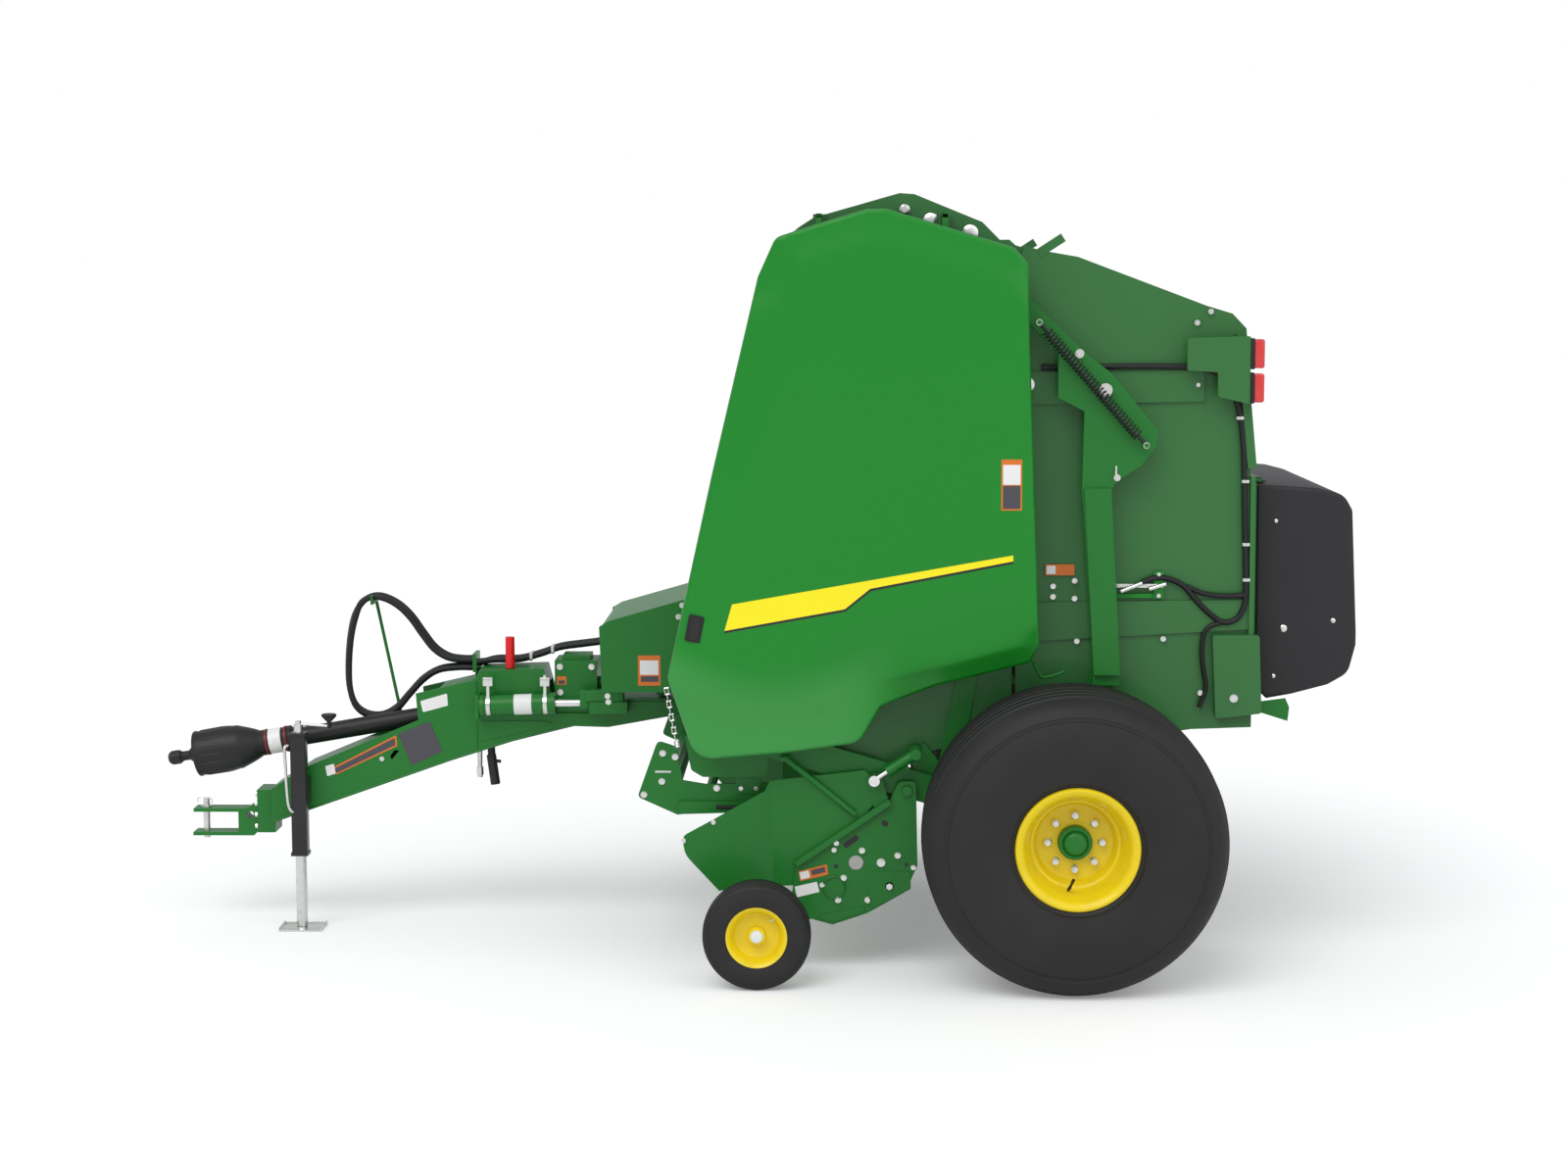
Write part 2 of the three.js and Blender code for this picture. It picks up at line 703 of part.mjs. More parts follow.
// ---------- rams ----------
// A barrel from its pin towards the rod's pin; the rod slides in it and its eye lies beside its pin.
function ram(from, to, y, { barrel, rodRadius, barrelLength, eye, retract }) {
  const run = new THREE.Vector2(to.x - from.x, to.z - from.z);
  const unit = run.clone().normalize();
  const at = (distance) => [from.x + unit.x * distance, y, from.z + unit.y * distance];
  const tube = join(
    rodY(from.x, from.z, eye, y - barrel, y + barrel, 14),
    rodBetween(at(eye / 2), at(barrelLength), barrel, 14),
  );
  const bore = rodBetween(at(eye + 20), at(barrelLength + 5), rodRadius + RUN, 14);
  const stem = join(
    rodBetween(at(eye + 24 + retract), at(run.length()), rodRadius, 14),
    rodY(to.x, to.z, eye, y - barrel, y + barrel, 14),
  );
  return { tube: cut(tube, bore), stem };
}

const gateRamParts = ram(gateRam, gateLug, cylinderY, { barrel: gateRamRadius, rodRadius: 16, barrelLength: 980, eye: 26, retract: 0 });
addPair("gate_ram", gateRamParts.tube, GREEN);
addPair("gate_ram_rod", gateRamParts.stem, SILVER);

const liftY = 908;
const liftRamParts = ram(liftRam, liftLug, liftY, { barrel: 23, rodRadius: 12, barrelLength: 128, eye: 21, retract: 24 });
addPair("pickup_ram", liftRamParts.tube, GREEN);
addPair("pickup_ram_rod", liftRamParts.stem, SILVER);

// ---------- pickup ----------
const endPlate = [
  [-1040, 418],
  [-680, 661],
  [pickupPivot.x - 34, pickupPivot.z + 36, 20],
  [pickupPivot.x + 34, pickupPivot.z + 36, 20],
  [pickupPivot.x + 36, pickupPivot.z - 40, 10],
  [-576, 500],
  [-574, 409],
  [-621, 306],
  [-766, 223],
  [-900, 178],
  [-980, 200],
  [gaugeAxis.x - 22, gaugeAxis.z - 30, 10],
  [gaugeAxis.x - 22, gaugeAxis.z + 26, 10],
  [-1062, 252],
];
const flare = [
  [-700, 690],
  [-775, 779],
  [-1142, 737],
  [-1160, 700],
  [-1354, 604],
  [-1487, 541, 20],
  [-1478, 470, 30],
  [-1345, 322],
  [-1034, 330],
];
const flareTurnX = -1130;
const flareSheet = plate(flare, pickupPlateIn, pickupPlateOut - 6);
const flareNear = join(flareSheet.subtract(box([-2000, flareTurnX], [0, 2000], [0, 2000])));
const flareFarFlat = plate(flare, 0, 6).intersect(box([-2000, flareTurnX + 4], [-10, 2000], [0, 2000]));

// The front of the flare leans outwards round an upright line.
function leanedOut(body, x, y, angle) {
  const { vertProperties, triVerts } = body.getMesh();
  const geometry = new THREE.BufferGeometry();
  geometry.setAttribute("position", new THREE.BufferAttribute(vertProperties, 3));
  geometry.setIndex(new THREE.BufferAttribute(triVerts, 1));
  geometry.translate(-x, 0, 0).rotateZ(angle).translate(x, y, 0);
  return solid(geometry);
}
const flareFront = leanedOut(flareFarFlat, flareTurnX, pickupPlateIn, -0.3);

const pickupTubes = [
  { x: -620, z: 560, r: 38 },
  { x: -640, z: 340, r: 30 },
];
const pickupHalf = join(
  cut(
    plate(endPlate, pickupPlateIn, pickupPlateOut),
    rodY(pickupPivot.x, pickupPivot.z, pivotPin + RUN, 800, 900, 12),
  ),
  flareNear,
  flareFront,
  strut([-700, 600], [liftLug.x, liftLug.z], 60, pickupPlateIn, pickupPlateOut),
  rodY(liftLug.x, liftLug.z, 22, pickupPlateIn, 884.5, 10),
  rodY(gaugeAxis.x, gaugeAxis.z, gaugeSpindle, pickupPlateIn, gaugeHalf + 14, 12),
  strut([-1040, 418], [-680, 661], 22, pickupPlateOut - 2, pickupPlateOut + 24),
  pickupTubes.map(({ x, z, r }) => rodY(x, z, r, -1, pickupPlateIn + 2, 10)),
);
const reelShaft = 28;
add(
  "pickup_frame",
  both(cut(pickupHalf, rodY(reelAxis.x, reelAxis.z, reelShaft + RUN, 840, 890, 16))),
  GREEN,
);

const bandPitch = 180;
const bandWidth = 110;
const bandCount = 9;
const bandInner = 186;
const bandOuter = 190;
const bandSteps = 6;
const bandHalf = [...Array(bandSteps + 1).keys()].map((k) => {
  const angle = THREE.MathUtils.degToRad(62 + (k * 205) / bandSteps);
  return [Math.cos(angle), Math.sin(angle)];
});
const bandOutline = [
  [pickupTubes[0].x + 4, pickupTubes[0].z + 50],
  ...bandHalf.map(([c, s]) => [reelAxis.x + bandOuter * c, reelAxis.z + bandOuter * s]),
  [pickupTubes[1].x - 30 - FIT - 2, pickupTubes[1].z - 36],
  [pickupTubes[1].x - 30 - FIT - 2, pickupTubes[1].z - 30],
  ...bandHalf.map(([c, s]) => [reelAxis.x + bandInner * c, reelAxis.z + bandInner * s]).reverse(),
  [pickupTubes[0].x + 4, pickupTubes[0].z + 44],
];
const bands = Array.from({ length: bandCount }, (_, i) => {
  const y = (i - (bandCount - 1) / 2) * bandPitch;
  return plate(bandOutline, y - bandWidth / 2, y + bandWidth / 2);
});
const bandRail = box(
  [pickupTubes[0].x - 10, pickupTubes[0].x + 4],
  [-pickupPlateIn + FIT, pickupPlateIn - FIT],
  [pickupTubes[0].z + 38 + FIT, pickupTubes[0].z + 50],
);
add("crop_bands", join(bands, bandRail), GREEN);

const tineBarRadius = 118;
const tineBars = 4;
const tineTip = 232;
const reelParts = [
  rodY(reelAxis.x, reelAxis.z, reelShaft, -pickupPlateOut + 2, pickupPlateOut - 2, 16),
  rodY(reelAxis.x, reelAxis.z, 45, -820, 820, 8),
];
for (let bar = 0; bar < tineBars; bar += 1) {
  const angle = (bar * 2 * Math.PI) / tineBars + 0.4;
  const c = Math.cos(angle);
  const s = Math.sin(angle);
  const x = reelAxis.x + tineBarRadius * c;
  const z = reelAxis.z + tineBarRadius * s;
  reelParts.push(rodY(x, z, 14, -815, 815, 6));
  [-810, 0, 810].forEach((y) => reelParts.push(strut([reelAxis.x, reelAxis.z], [x, z], 40, y - 5, y + 5)));
  for (let i = 0; i < bandCount - 1; i += 1) {
    const y = (i - (bandCount - 2) / 2) * bandPitch;
    const tip = [reelAxis.x + tineTip * c, reelAxis.z + tineTip * s];
    reelParts.push(strut([x, z], tip, 8, y - 4, y + 4));
  }
}
add("tine_reel", join(reelParts), SILVER);

const windguard = join(
  both(
    join(
      plate(
        [[-1576, 875, 20], [-1500, 850, 20], [-1480, 720, 2], [-1390, 705, 2], [-1090, 712, 10], [-1090, 640, 10],
          [-1500, 585, 2], [-1655, 655, 16]],
        752,
        764,
      ),
      plate([[-1495, 640], [-1495, 590], [-1160, 600], [-1160, 640]], 752, 780),
      strut([-1110, 676], [-1010, 660], 70, 752, 780),
      rodY(-1010, 660, 22, 750, pickupPlateIn - FIT, 14),
    ),
  ),
  rodY(-1540, 640, 34, -755, 755, 10),
  rodY(-1380, 650, 20, -755, 755, 8),
);
add("windguard", windguard, GREEN);

// ---------- feed rotor ----------
const rotorStars = Array.from({ length: 5 }, (_, i) => {
  const y = (i - 2) * 280;
  const points = Array.from({ length: 8 }, (_, k) => {
    const angle = (k * Math.PI) / 4 + i * 0.35;
    const reach = k % 2 ? 70 : 155;
    return [rotorAxis.x + reach * Math.cos(angle), rotorAxis.z + reach * Math.sin(angle)];
  });
  return plate(points, y - 6, y + 6);
});
const rotor = join(
  rodY(rotorAxis.x, rotorAxis.z, 78, -sheetIn + CLEAR, sheetIn - CLEAR, 12),
  rodY(rotorAxis.x, rotorAxis.z, 35, -railIn - 7, railIn + 7, 12),
  rotorStars,
);
add("feed_rotor", rotor, SILVER);

// ---------- drawbar ----------
const drawbarHalf = 110;
const shaftSlope = Math.atan2(265, 1560); // the drive shaft rises rearwards
const shaftTip = { x: shaftTipX + 20 * Math.sin(shaftSlope), z: 672 };
const shaftAt = (x) => shaftTip.z + (x - shaftTip.x) * Math.tan(shaftSlope);
const gearboxX = [-2040, -1865];
const drawbarOutline = [
  [-3212, 421],
  [-3212, 565],
  [-3069, 655],
  [-2600, 851],
  [-2609, 960],
  [-2365, 1017],
  [-2349, 1055],
  [-2083, 1063],
  [-2050, 940],
  [beamX[0] - FIT, 940],
  [beamX[0] - FIT, 890],
  [-1570, 868],
  [-1820, 823],
  [-1960, 827],
  [-2212, 764],
  [-2465, 684],
];
const trough = plate(
  [[-3150, shaftAt(-3150) - 60], [-2340, shaftAt(-2340) - 60], [-2340, 985], [-2500, 950], [-2640, 1300], [-3400, 1300]],
  -drawbarHalf + 14,
  drawbarHalf - 14,
);
const driveTunnel = plate(
  [[-2350, shaftAt(-2340) - 60], [-2030, shaftAt(-2030) - 60], [-2030, shaftAt(-2030) + 60], [-2350, shaftAt(-2340) + 60]],
  -80,
  80,
);
const gearboxSeat = box([gearboxX[0] - FIT, gearboxX[1] + FIT], [-200, 200], [880 - FIT, 1200]);
const drawbar = join(
  cut(plate(drawbarOutline, -drawbarHalf, drawbarHalf), trough, driveTunnel, gearboxSeat),
  box([-3279, -3205], [-70, 70], [375, 553]),
  box([-2400, -2340], [drawbarHalf - 2, 152], [905, 940 - FIT]),
  box([-2355, -2340], [-200, -drawbarHalf + 2], [870, 966]),
  box([-1890, -1735], [-200, -drawbarHalf + 2], [892, 940]),
);
add("drawbar", drawbar, GREEN);

const pin = { x: -3505, radius: 13 };
const hitch = join(
  plate([[-3553, 357], [-3300, 357], [-3279 - FIT, 380], [-3279 - FIT, 500], [-3330, 470], [-3364, 470], [-3364, 371],
    [-3553, 371]], -45, 45),
  plate([[-3550, 456], [-3350, 456], [-3350, 470], [-3550, 470]], -45, 45),
  plate([[-3364, 371], [-3340, 371], [-3340, 456], [-3364, 456]], -45, 45),
  rodZ(pin.x, 0, pin.radius, 345, 500, 12),
);
const hitchCut = rodY(-3315, 443, 17, -60, 60, 12);
add("hitch_clevis", cut(hitch, hitchCut), GREEN);

// Jack beside the drawbar, on the left.
const jack = { x: -3080, y: -182, half: 31, bore: 25 };
const jackTube = cut(
  join(
    box([jack.x - jack.half, jack.x + jack.half], [jack.y - jack.half, jack.y + jack.half], [305, 812]),
    box([jack.x - 22, jack.x + 22], [jack.y - 22, jack.y + 22], [810, 850]),
    box([jack.x - 34, jack.x + 34], [jack.y + jack.half - 2, -drawbarHalf - FIT], [510, 620]),
    rodBetween([jack.x, jack.y, 838], [-2948, jack.y, 872], 7, 8),
    rodZ(-2945, jack.y, 10, 860, 885, 10),
    rodBetween([-2985, jack.y, 893], [-2905, jack.y, 893], 9, 8),
    rodZ(-2945, jack.y, 7, 880, 893, 8),
  ),
  box([jack.x - jack.bore, jack.x + jack.bore], [jack.y - jack.bore, jack.y + jack.bore], [300, 790]),
);
add("jack_tube", jackTube, BLACK);
const legHalf = jack.bore - FIT;
add(
  "jack_leg",
  join(
    box([jack.x - legHalf, jack.x + legHalf], [jack.y - legHalf, jack.y + legHalf], [5, 480]),
    box([jack.x - 85, jack.x + 90], [jack.y - 75, jack.y + 75], [0, 10]),
  ),
  SILVER,
);

const gearbox = join(
  box([gearboxX[0] + FIT, gearboxX[1] - FIT], [-92, 92], [880, 1095]),
  box([gearboxX[0] + 30, gearboxX[1] - 30], [-70, 70], [1090, 1113]),
  rodBetween([gearboxX[1] - 5, 0, 985], [-1440, 0, 1000], 34, 14),
  rodY(-1600, 994, 50, -50, 50, 14),
);
add("gearbox", gearbox, DARK_GREEN);

// Drive shaft: a turning yoke and shaft inside a fixed guard, drawn along their own axis.
const driveline = new THREE.Group();
driveline.position.set(shaftTip.x, 0, shaftTip.z);
driveline.rotation.set(0, -shaftSlope, 0);
model.add(driveline);
const shaftLength = (gearboxX[0] - shaftTip.x) / Math.cos(shaftSlope) - 3.4;
const lengthwise = (body) => {
  const { vertProperties, triVerts } = body.getMesh();
  const geometry = new THREE.BufferGeometry();
  geometry.setAttribute("position", new THREE.BufferAttribute(vertProperties, 3));
  geometry.setIndex(new THREE.BufferAttribute(triVerts, 1));
  return solid(geometry.rotateZ(-Math.PI / 2));
};
const shaftRadius = 16;
const yokeProfile = [
  [0, 0],
  [20, 0],
  [27, 6],
  [27, 52],
  [22, 58],
  [22, 88],
  [32, 96],
  [32, 300],
  [shaftRadius, 320],
  [shaftRadius, shaftLength],
  [0, shaftLength],
];
add("drive_yoke", lengthwise(turned(yokeProfile, 16)), BLACK, driveline);
const guardEnd = shaftLength - 60;
const guardProfile = closed([
  [94, 120],
  [96, 250],
  [90, 300],
  [62, 378],
  [52, 392],
  [52, 520],
  [46, 530],
  [38, 540],
  [37, guardEnd],
  [shaftRadius + RUN, guardEnd],
  [shaftRadius + RUN, 400],
  [40, 396],
  [56, 370],
  [84, 290],
  [88, 250],
  [88, 120],
]);
add("drive_guard", lengthwise(turned(guardProfile, 16)), BLACK, driveline);

// ---------- cylinder, lock lever and hood on the drawbar ----------
const stayY = -165;
const stay = join(
  rodBetween([-2338, stayY, 920], [-2029, stayY, 930], 44, 16),
  rodBetween([-2035, stayY, 930], [-1890, stayY, 932], 15, 12),
  box([-1905, -1750], [stayY - 32, stayY + 32], [940 + FIT, 986]),
  box([-1930, -1885], [stayY - 22, stayY + 22], [912, 986]),
);
add("drawbar_cylinder", cut(stay, box([-1890 - FIT, -1700], [-220, -100], [880, 940 + FIT])), SILVER);

add("lock_lever", rodZ(-2225, -60, 19, 1059.6, 1190, 16), RED);

const hoodHalf = 340;
const hoodOutline = [
  [-1835, 1265],
  [-1795, 1289],
  [-1412, 1398],
  [-1437.5, 1290],
  [-1437.5, 1100],
  [beamX[0] + 15, 1100],
  [beamX[0] + 15, beamZ[1] + FIT],
  [-1826, beamZ[1] + FIT],
];
const hood = cut(
  plate(hoodOutline, -hoodHalf, hoodHalf),
  plate([[-1900, 1256], [-1790, 1280], [-1380, 1400], [-1380, 900], [-1900, 900]],
    -hoodHalf + 8, hoodHalf - 8),
);
add("drive_hood", hood, GREEN);

// ---------- hose rack and hoses ----------
const hoseRadius = 13;
const hoseY = [58, 90, 122];
const rackX = -2392;
const hookY = 146;
const hookTop = { x: -2806, z: 1316 };
const rack = join(
  box([rackX + FIT, rackX + 17], [30, 150], [1030, 1106]),
  box([rackX + FIT, rackX + 44], [drawbarHalf + FIT, 150], [940, 1040]),
);
const hook = join(
  box([-2718, -2684], [drawbarHalf + FIT, hookY + 7], [765, 800]),
  rodBetween([-2700, hookY, 790], [hookTop.x, hookY, hookTop.z], 7, 8),
  rodBetween([hookTop.x, 32, hookTop.z], [hookTop.x, hookY + 5, hookTop.z], 7, 8),
  rodBetween([hookTop.x, 34, hookTop.z], [hookTop.x, 32, hookTop.z + 34], 6, 8),
);
add("hose_rack", rack, GREEN);
add("hose_hook", hook, GREEN);

// Each hose leaves the rack, hangs over the hook and comes back to the rack below its start.
const hoseLoop = [
  [rackX, 1078],
  [-2440, 1078],
  [-2500, 1088],
  [-2556, 1124],
  [-2604, 1186],
  [-2650, 1252],
  [-2700, 1302],
  [-2756, 1333],
  [-2806, 1340],
  [-2852, 1318],
  [-2884, 1262],
  [-2905, 1176],
  [-2916, 1066],
  [-2914, 960],
  [-2890, 884],
  [-2840, 846],
  [-2776, 842],
  [-2716, 874],
  [-2664, 932],
  [-2606, 994],
  [-2540, 1034],
  [-2460, 1046],
  [rackX, 1046],
];
hoseY.forEach((y, i) => {
  const spread = (i - 1) * 7;
  const route = hoseLoop.map(([x, z], k) => {
    const ease = Math.sin((Math.PI * k) / (hoseLoop.length - 1));
    const droop = k > 9 && k < 20 ? spread * ease : 0;
    return [x - droop, y, z];
  });
  add(`hydraulic_hose_${i + 1}`, hose(route, hoseRadius, 30), RUBBER);
});

model.position.x = -(shaftTipX + coverRearX) / 2;

export default model;
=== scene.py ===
import math

import bmesh
import bpy
from mathutils import Matrix, Vector


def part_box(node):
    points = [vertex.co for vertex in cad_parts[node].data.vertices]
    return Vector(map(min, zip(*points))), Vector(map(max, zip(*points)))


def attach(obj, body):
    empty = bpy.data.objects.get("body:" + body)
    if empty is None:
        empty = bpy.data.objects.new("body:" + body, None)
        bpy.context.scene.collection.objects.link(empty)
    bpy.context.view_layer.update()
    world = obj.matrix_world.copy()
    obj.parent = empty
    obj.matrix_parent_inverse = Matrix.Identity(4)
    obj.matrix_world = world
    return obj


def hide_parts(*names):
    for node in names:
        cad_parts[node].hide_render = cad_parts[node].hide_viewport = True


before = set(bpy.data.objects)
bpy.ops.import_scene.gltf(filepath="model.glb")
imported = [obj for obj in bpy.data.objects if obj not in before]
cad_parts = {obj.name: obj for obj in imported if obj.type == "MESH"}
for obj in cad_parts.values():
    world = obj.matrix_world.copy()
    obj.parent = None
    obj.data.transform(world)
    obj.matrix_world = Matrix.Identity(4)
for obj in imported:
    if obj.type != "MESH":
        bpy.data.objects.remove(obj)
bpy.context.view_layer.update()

# The model is described from the wheel's axle: x to the rear, y to the machine's right, z up, in metres.
AXLE = (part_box("left_tyre")[0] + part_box("left_tyre")[1]) / 2
AXLE_X = AXLE.x
SIDES = (("left", -1), ("right", 1))


def spot(x, y, z):
    return Vector((AXLE_X + x, y, z))


# ---------- camera ----------
CAMERA_PLACE = spot(-0.8604, -11.594, 2.663)
CAMERA_TURNS = (1.193, -6.294, -0.13)
FOCAL_LENGTH = 65.25


def make_camera():
    lens = bpy.data.cameras.new("camera")
    lens.lens = FOCAL_LENGTH
    lens.sensor_width = 36
    camera = bpy.data.objects.new("camera", lens)
    bpy.context.scene.collection.objects.link(camera)
    turn, tilt, roll = (math.radians(a) for a in CAMERA_TURNS)
    camera.matrix_world = (
        Matrix.Translation(CAMERA_PLACE)
        @ Matrix.Rotation(turn, 4, "Z")
        @ Matrix.Rotation(math.pi / 2 + tilt, 4, "X")
        @ Matrix.Rotation(roll, 4, "Z")
    )
    bpy.context.scene.camera = camera


make_camera()


# ---------- cords ----------
HOSE_RADIUS = 0.013
HOSE_SIDES = (0.058, 0.090, 0.122)
RACK_X = -2.392
HOSE_LOOP = [
    (RACK_X, 1.078), (-2.440, 1.078), (-2.500, 1.088), (-2.556, 1.124), (-2.604, 1.186),
    (-2.650, 1.252), (-2.700, 1.302), (-2.756, 1.333), (-2.806, 1.340), (-2.852, 1.318),
    (-2.884, 1.262), (-2.905, 1.176), (-2.916, 1.066), (-2.914, 0.960), (-2.890, 0.884),
    (-2.840, 0.846), (-2.776, 0.842), (-2.716, 0.874), (-2.664, 0.932), (-2.606, 0.994),
    (-2.540, 1.034), (-2.460, 1.046), (RACK_X, 1.046),
]


LOOP_FRONT = range(10, 20)
HOSE_SPREAD = 0.007


def hose_route(i):
    """One hose's points: out of the rack, over the hook, and back into the rack below its start."""
    spread = (i - 1) * HOSE_SPREAD
    route = []
    for k, (x, z) in enumerate(HOSE_LOOP):
        ease = math.sin(math.pi * k / (len(HOSE_LOOP) - 1))
        droop = spread * ease if k in LOOP_FRONT else 0
        route.append(spot(x - droop, HOSE_SIDES[i], z))
    return route


def smooth_route(points, steps=6):
    """Points along a Catmull-Rom curve through the given ones."""
    line = []
    ends = [points[0] * 2 - points[1], *points, points[-1] * 2 - points[-2]]
    for a, b, c, d in zip(ends, ends[1:], ends[2:], ends[3:]):
        for k in range(steps):
            t = k / steps
            bend = (2 * a - 5 * b + 4 * c - d) * t**2 + (3 * b - a - 3 * c + d) * t**3
            line.append(0.5 * (2 * b + (c - a) * t + bend))
    line.append(points[-1])
    return line


def tube(name, line, radius, sides=8):
    """A round mesh tube along a line of points."""
    curve = bpy.data.curves.new(name, "CURVE")
    curve.dimensions = "3D"
    curve.bevel_depth = radius
    curve.bevel_resolution = sides // 4
    curve.use_fill_caps = True
    spline = curve.splines.new("POLY")
    spline.points.add(len(line) - 1)
    for point, place in zip(spline.points, line):
        point.co = (*place, 1)
    guide = bpy.data.objects.new(name, curve)
    mesh = bpy.data.meshes.new_from_object(guide)
    mesh.name = name
    bpy.data.objects.remove(guide)
    bpy.data.curves.remove(curve)
    mesh.shade_smooth()
    mesh.set_sharp_from_angle(angle=math.radians(50))
    piece = bpy.data.objects.new(name, mesh)
    bpy.context.scene.collection.objects.link(piece)
    return piece


def length_of(line):
    return sum((b - a).length for a, b in zip(line, line[1:]))


HOSES = []
for i in range(3):
    line = smooth_route(hose_route(i))
    hose = tube(f"hose_{i + 1}", line, HOSE_RADIUS, 16)
    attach(hose, "frame")
    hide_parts(f"hydraulic_hose_{i + 1}")
    length_of(line)
    HOSES.append(hose)


# ---------- shader nodes ----------
class Wire:
    """A node's output that can be used in sums."""

    def __init__(self, finish, socket):
        self.finish = finish
        self.socket = socket

    def math(self, operation, *values):
        return self.finish.node("Math", {"operation": operation}, dict(enumerate(values)))

    def __add__(self, other):
        return self.math("ADD", self, other)

    def __sub__(self, other):
        return self.math("SUBTRACT", self, other)

    def __rsub__(self, other):
        return self.math("SUBTRACT", other, self)

    def __mul__(self, other):
        return self.math("MULTIPLY", self, other)

    __radd__ = __add__
    __rmul__ = __mul__

    def sine(self):
        return self.math("SINE", self)

    def step(self, low, high):
        """0 below low, 1 above high, and smooth between."""
        return self.finish.node(
            "MapRange", {"interpolation_type": "SMOOTHSTEP"}, {0: self, 1: low, 2: high, 3: 0.0, 4: 1.0}
        )


class Finish:
    """A material: one Principled shader, with its patterns added by expressions."""

    def __init__(self, name, **constants):
        self.material = bpy.data.materials.new(name)
        self.material.use_nodes = True
        self.tree = self.material.node_tree
        self.tree.nodes.clear()
        self.shader = self.tree.nodes.new("ShaderNodeBsdfPrincipled")
        output = self.tree.nodes.new("ShaderNodeOutputMaterial")
        self.tree.links.new(self.shader.outputs[0], output.inputs[0])
        for socket, value in constants.items():
            self.set(socket, value)

    def link(self, value, socket):
        if isinstance(value, Wire):
            self.tree.links.new(value.socket, socket)
        elif isinstance(value, tuple) and len(socket.default_value) == 4:
            socket.default_value = (*value, 1.0)
        else:
            socket.default_value = value

    def set(self, socket, value):
        self.link(value, self.shader.inputs[socket.replace("_", " ")])

    def node(self, kind, settings=None, inputs=None, output=0):
        node = self.tree.nodes.new("ShaderNode" + kind)
        for key, value in (settings or {}).items():
            setattr(node, key, value)
        for key, value in (inputs or {}).items():
            self.link(value, node.inputs[key])
        return Wire(self, node.outputs[output])

    def place(self, scale=(1, 1, 1)):
        """Object coordinates, counted from the axle."""
        coordinates = self.node("TexCoord", output="Object")
        return self.node("Mapping", {"vector_type": "POINT"}, {0: coordinates, 1: (-AXLE_X, 0, 0), 3: scale})

    def axes(self):
        split = self.node("SeparateXYZ", inputs={0: self.place()})
        return [Wire(self, output) for output in split.socket.node.outputs]

    def noise(self, size, detail=2.0, stretch=(1, 1, 1)):
        """Noise from 0 to 1 with features of about that size, in metres."""
        return self.node(
            "TexNoise", None, {"Vector": self.place(stretch), "Scale": 1 / size, "Detail": detail}
        )

    def mix(self, factor, first, second):
        return self.node("Mix", {"data_type": "RGBA"}, {0: factor, 6: first, 7: second}, 2)

    def bump(self, height, depth, edge=0.0):
        """Relief of so many metres, on edges rounded by the given radius."""
        inputs = {"Height": height, "Distance": depth, "Strength": 1.0}
        if edge:
            inputs["Normal"] = self.node("Bevel", {"samples": 4}, {"Radius": edge})
        self.set("Normal", self.node("Bump", None, inputs))


# ---------- finishes ----------
def paint(name, colour, roughness=0.36, edge=0.0, coat=0.25):
    """Enamel: faint orange peel, slightly uneven gloss, and a duller film low down near the ground."""
    finish = Finish(name, Coat_Weight=coat, Coat_Roughness=0.12, Specular_IOR_Level=0.3)
    z = finish.axes()[2]
    tone = finish.noise(0.7) * 0.10 - 0.05
    dust = z.step(1.1, 0.1) * finish.noise(0.09, 4.0).step(0.42, 0.75)
    light = tuple(min(1.0, c * 1.12 + 0.004) for c in colour)
    dusty = tuple(c * 0.86 + 0.016 for c in colour)
    painted = finish.mix(tone + 0.5, colour, light)
    finish.set("Base Color", finish.mix(dust * 0.5, painted, dusty))
    finish.set("Roughness", finish.noise(0.05) * 0.08 + dust * 0.12 + (roughness - 0.04))
    finish.bump(finish.noise(0.0035, 1.0), 0.00006, edge)
    return finish.material


def shield_paint(name, colour):
    """Enamel of the side shields, with a painted highlight (a lighter green) on the lower front face and
    painted shade (a deeper green) under the crease above the lower rear edge.
    """
    finish = Finish(name, Coat_Weight=0.2, Coat_Roughness=0.12, Specular_IOR_Level=0.25)
    x, _, z = finish.axes()
    from_dip = x + 1.13
    # Painted highlight: a lighter green where the lower front face turns towards light thrown up from the
    # floor.
    painted_facet_highlight = (from_dip * from_dip * 0.9 + 1.19 - z).step(-0.02, 0.16) * x.step(-0.60, -0.90)
    # Painted shade: a deeper green under the crease above the lower rear edge.
    painted_heel_shade = (x * 0.244 + 1.325 - z).step(-0.006, 0.012) * x.step(-0.78, -0.60)
    light = tuple(min(1.0, c * 1.10 + 0.003) for c in colour)
    painted = finish.mix(finish.noise(0.7) * 0.10 + 0.45, colour, light)
    # Mixes in the painted highlight of the lower front face.
    with_painted_highlight = finish.mix(painted_facet_highlight * 0.85, painted, (0.045, 0.290, 0.058))
    # Mixes in the painted shade under that crease.
    finish.set("Base Color", finish.mix(painted_heel_shade * 0.8, with_painted_highlight, (0.003, 0.150, 0.008)))
    finish.set("Roughness", finish.noise(0.05) * 0.08 + 0.32)
    finish.bump(finish.noise(0.0035, 1.0), 0.00006)
    return finish.material


def rubber(name, colour, roughness, grain, edge=0.0):
    """Rubber with a fine moulded grain and a dusty bloom in patches."""
    finish = Finish(name, Specular_IOR_Level=0.35)
    bloom = finish.noise(0.16, 4.0).step(0.35, 0.8)
    pale = tuple(c * 1.5 + 0.006 for c in colour)
    finish.set("Base Color", finish.mix(bloom * 0.5, colour, pale))
    finish.set("Roughness", bloom * 0.14 + roughness)
    finish.bump(finish.noise(grain, 2.0), grain * 0.06, edge)
    return finish.material


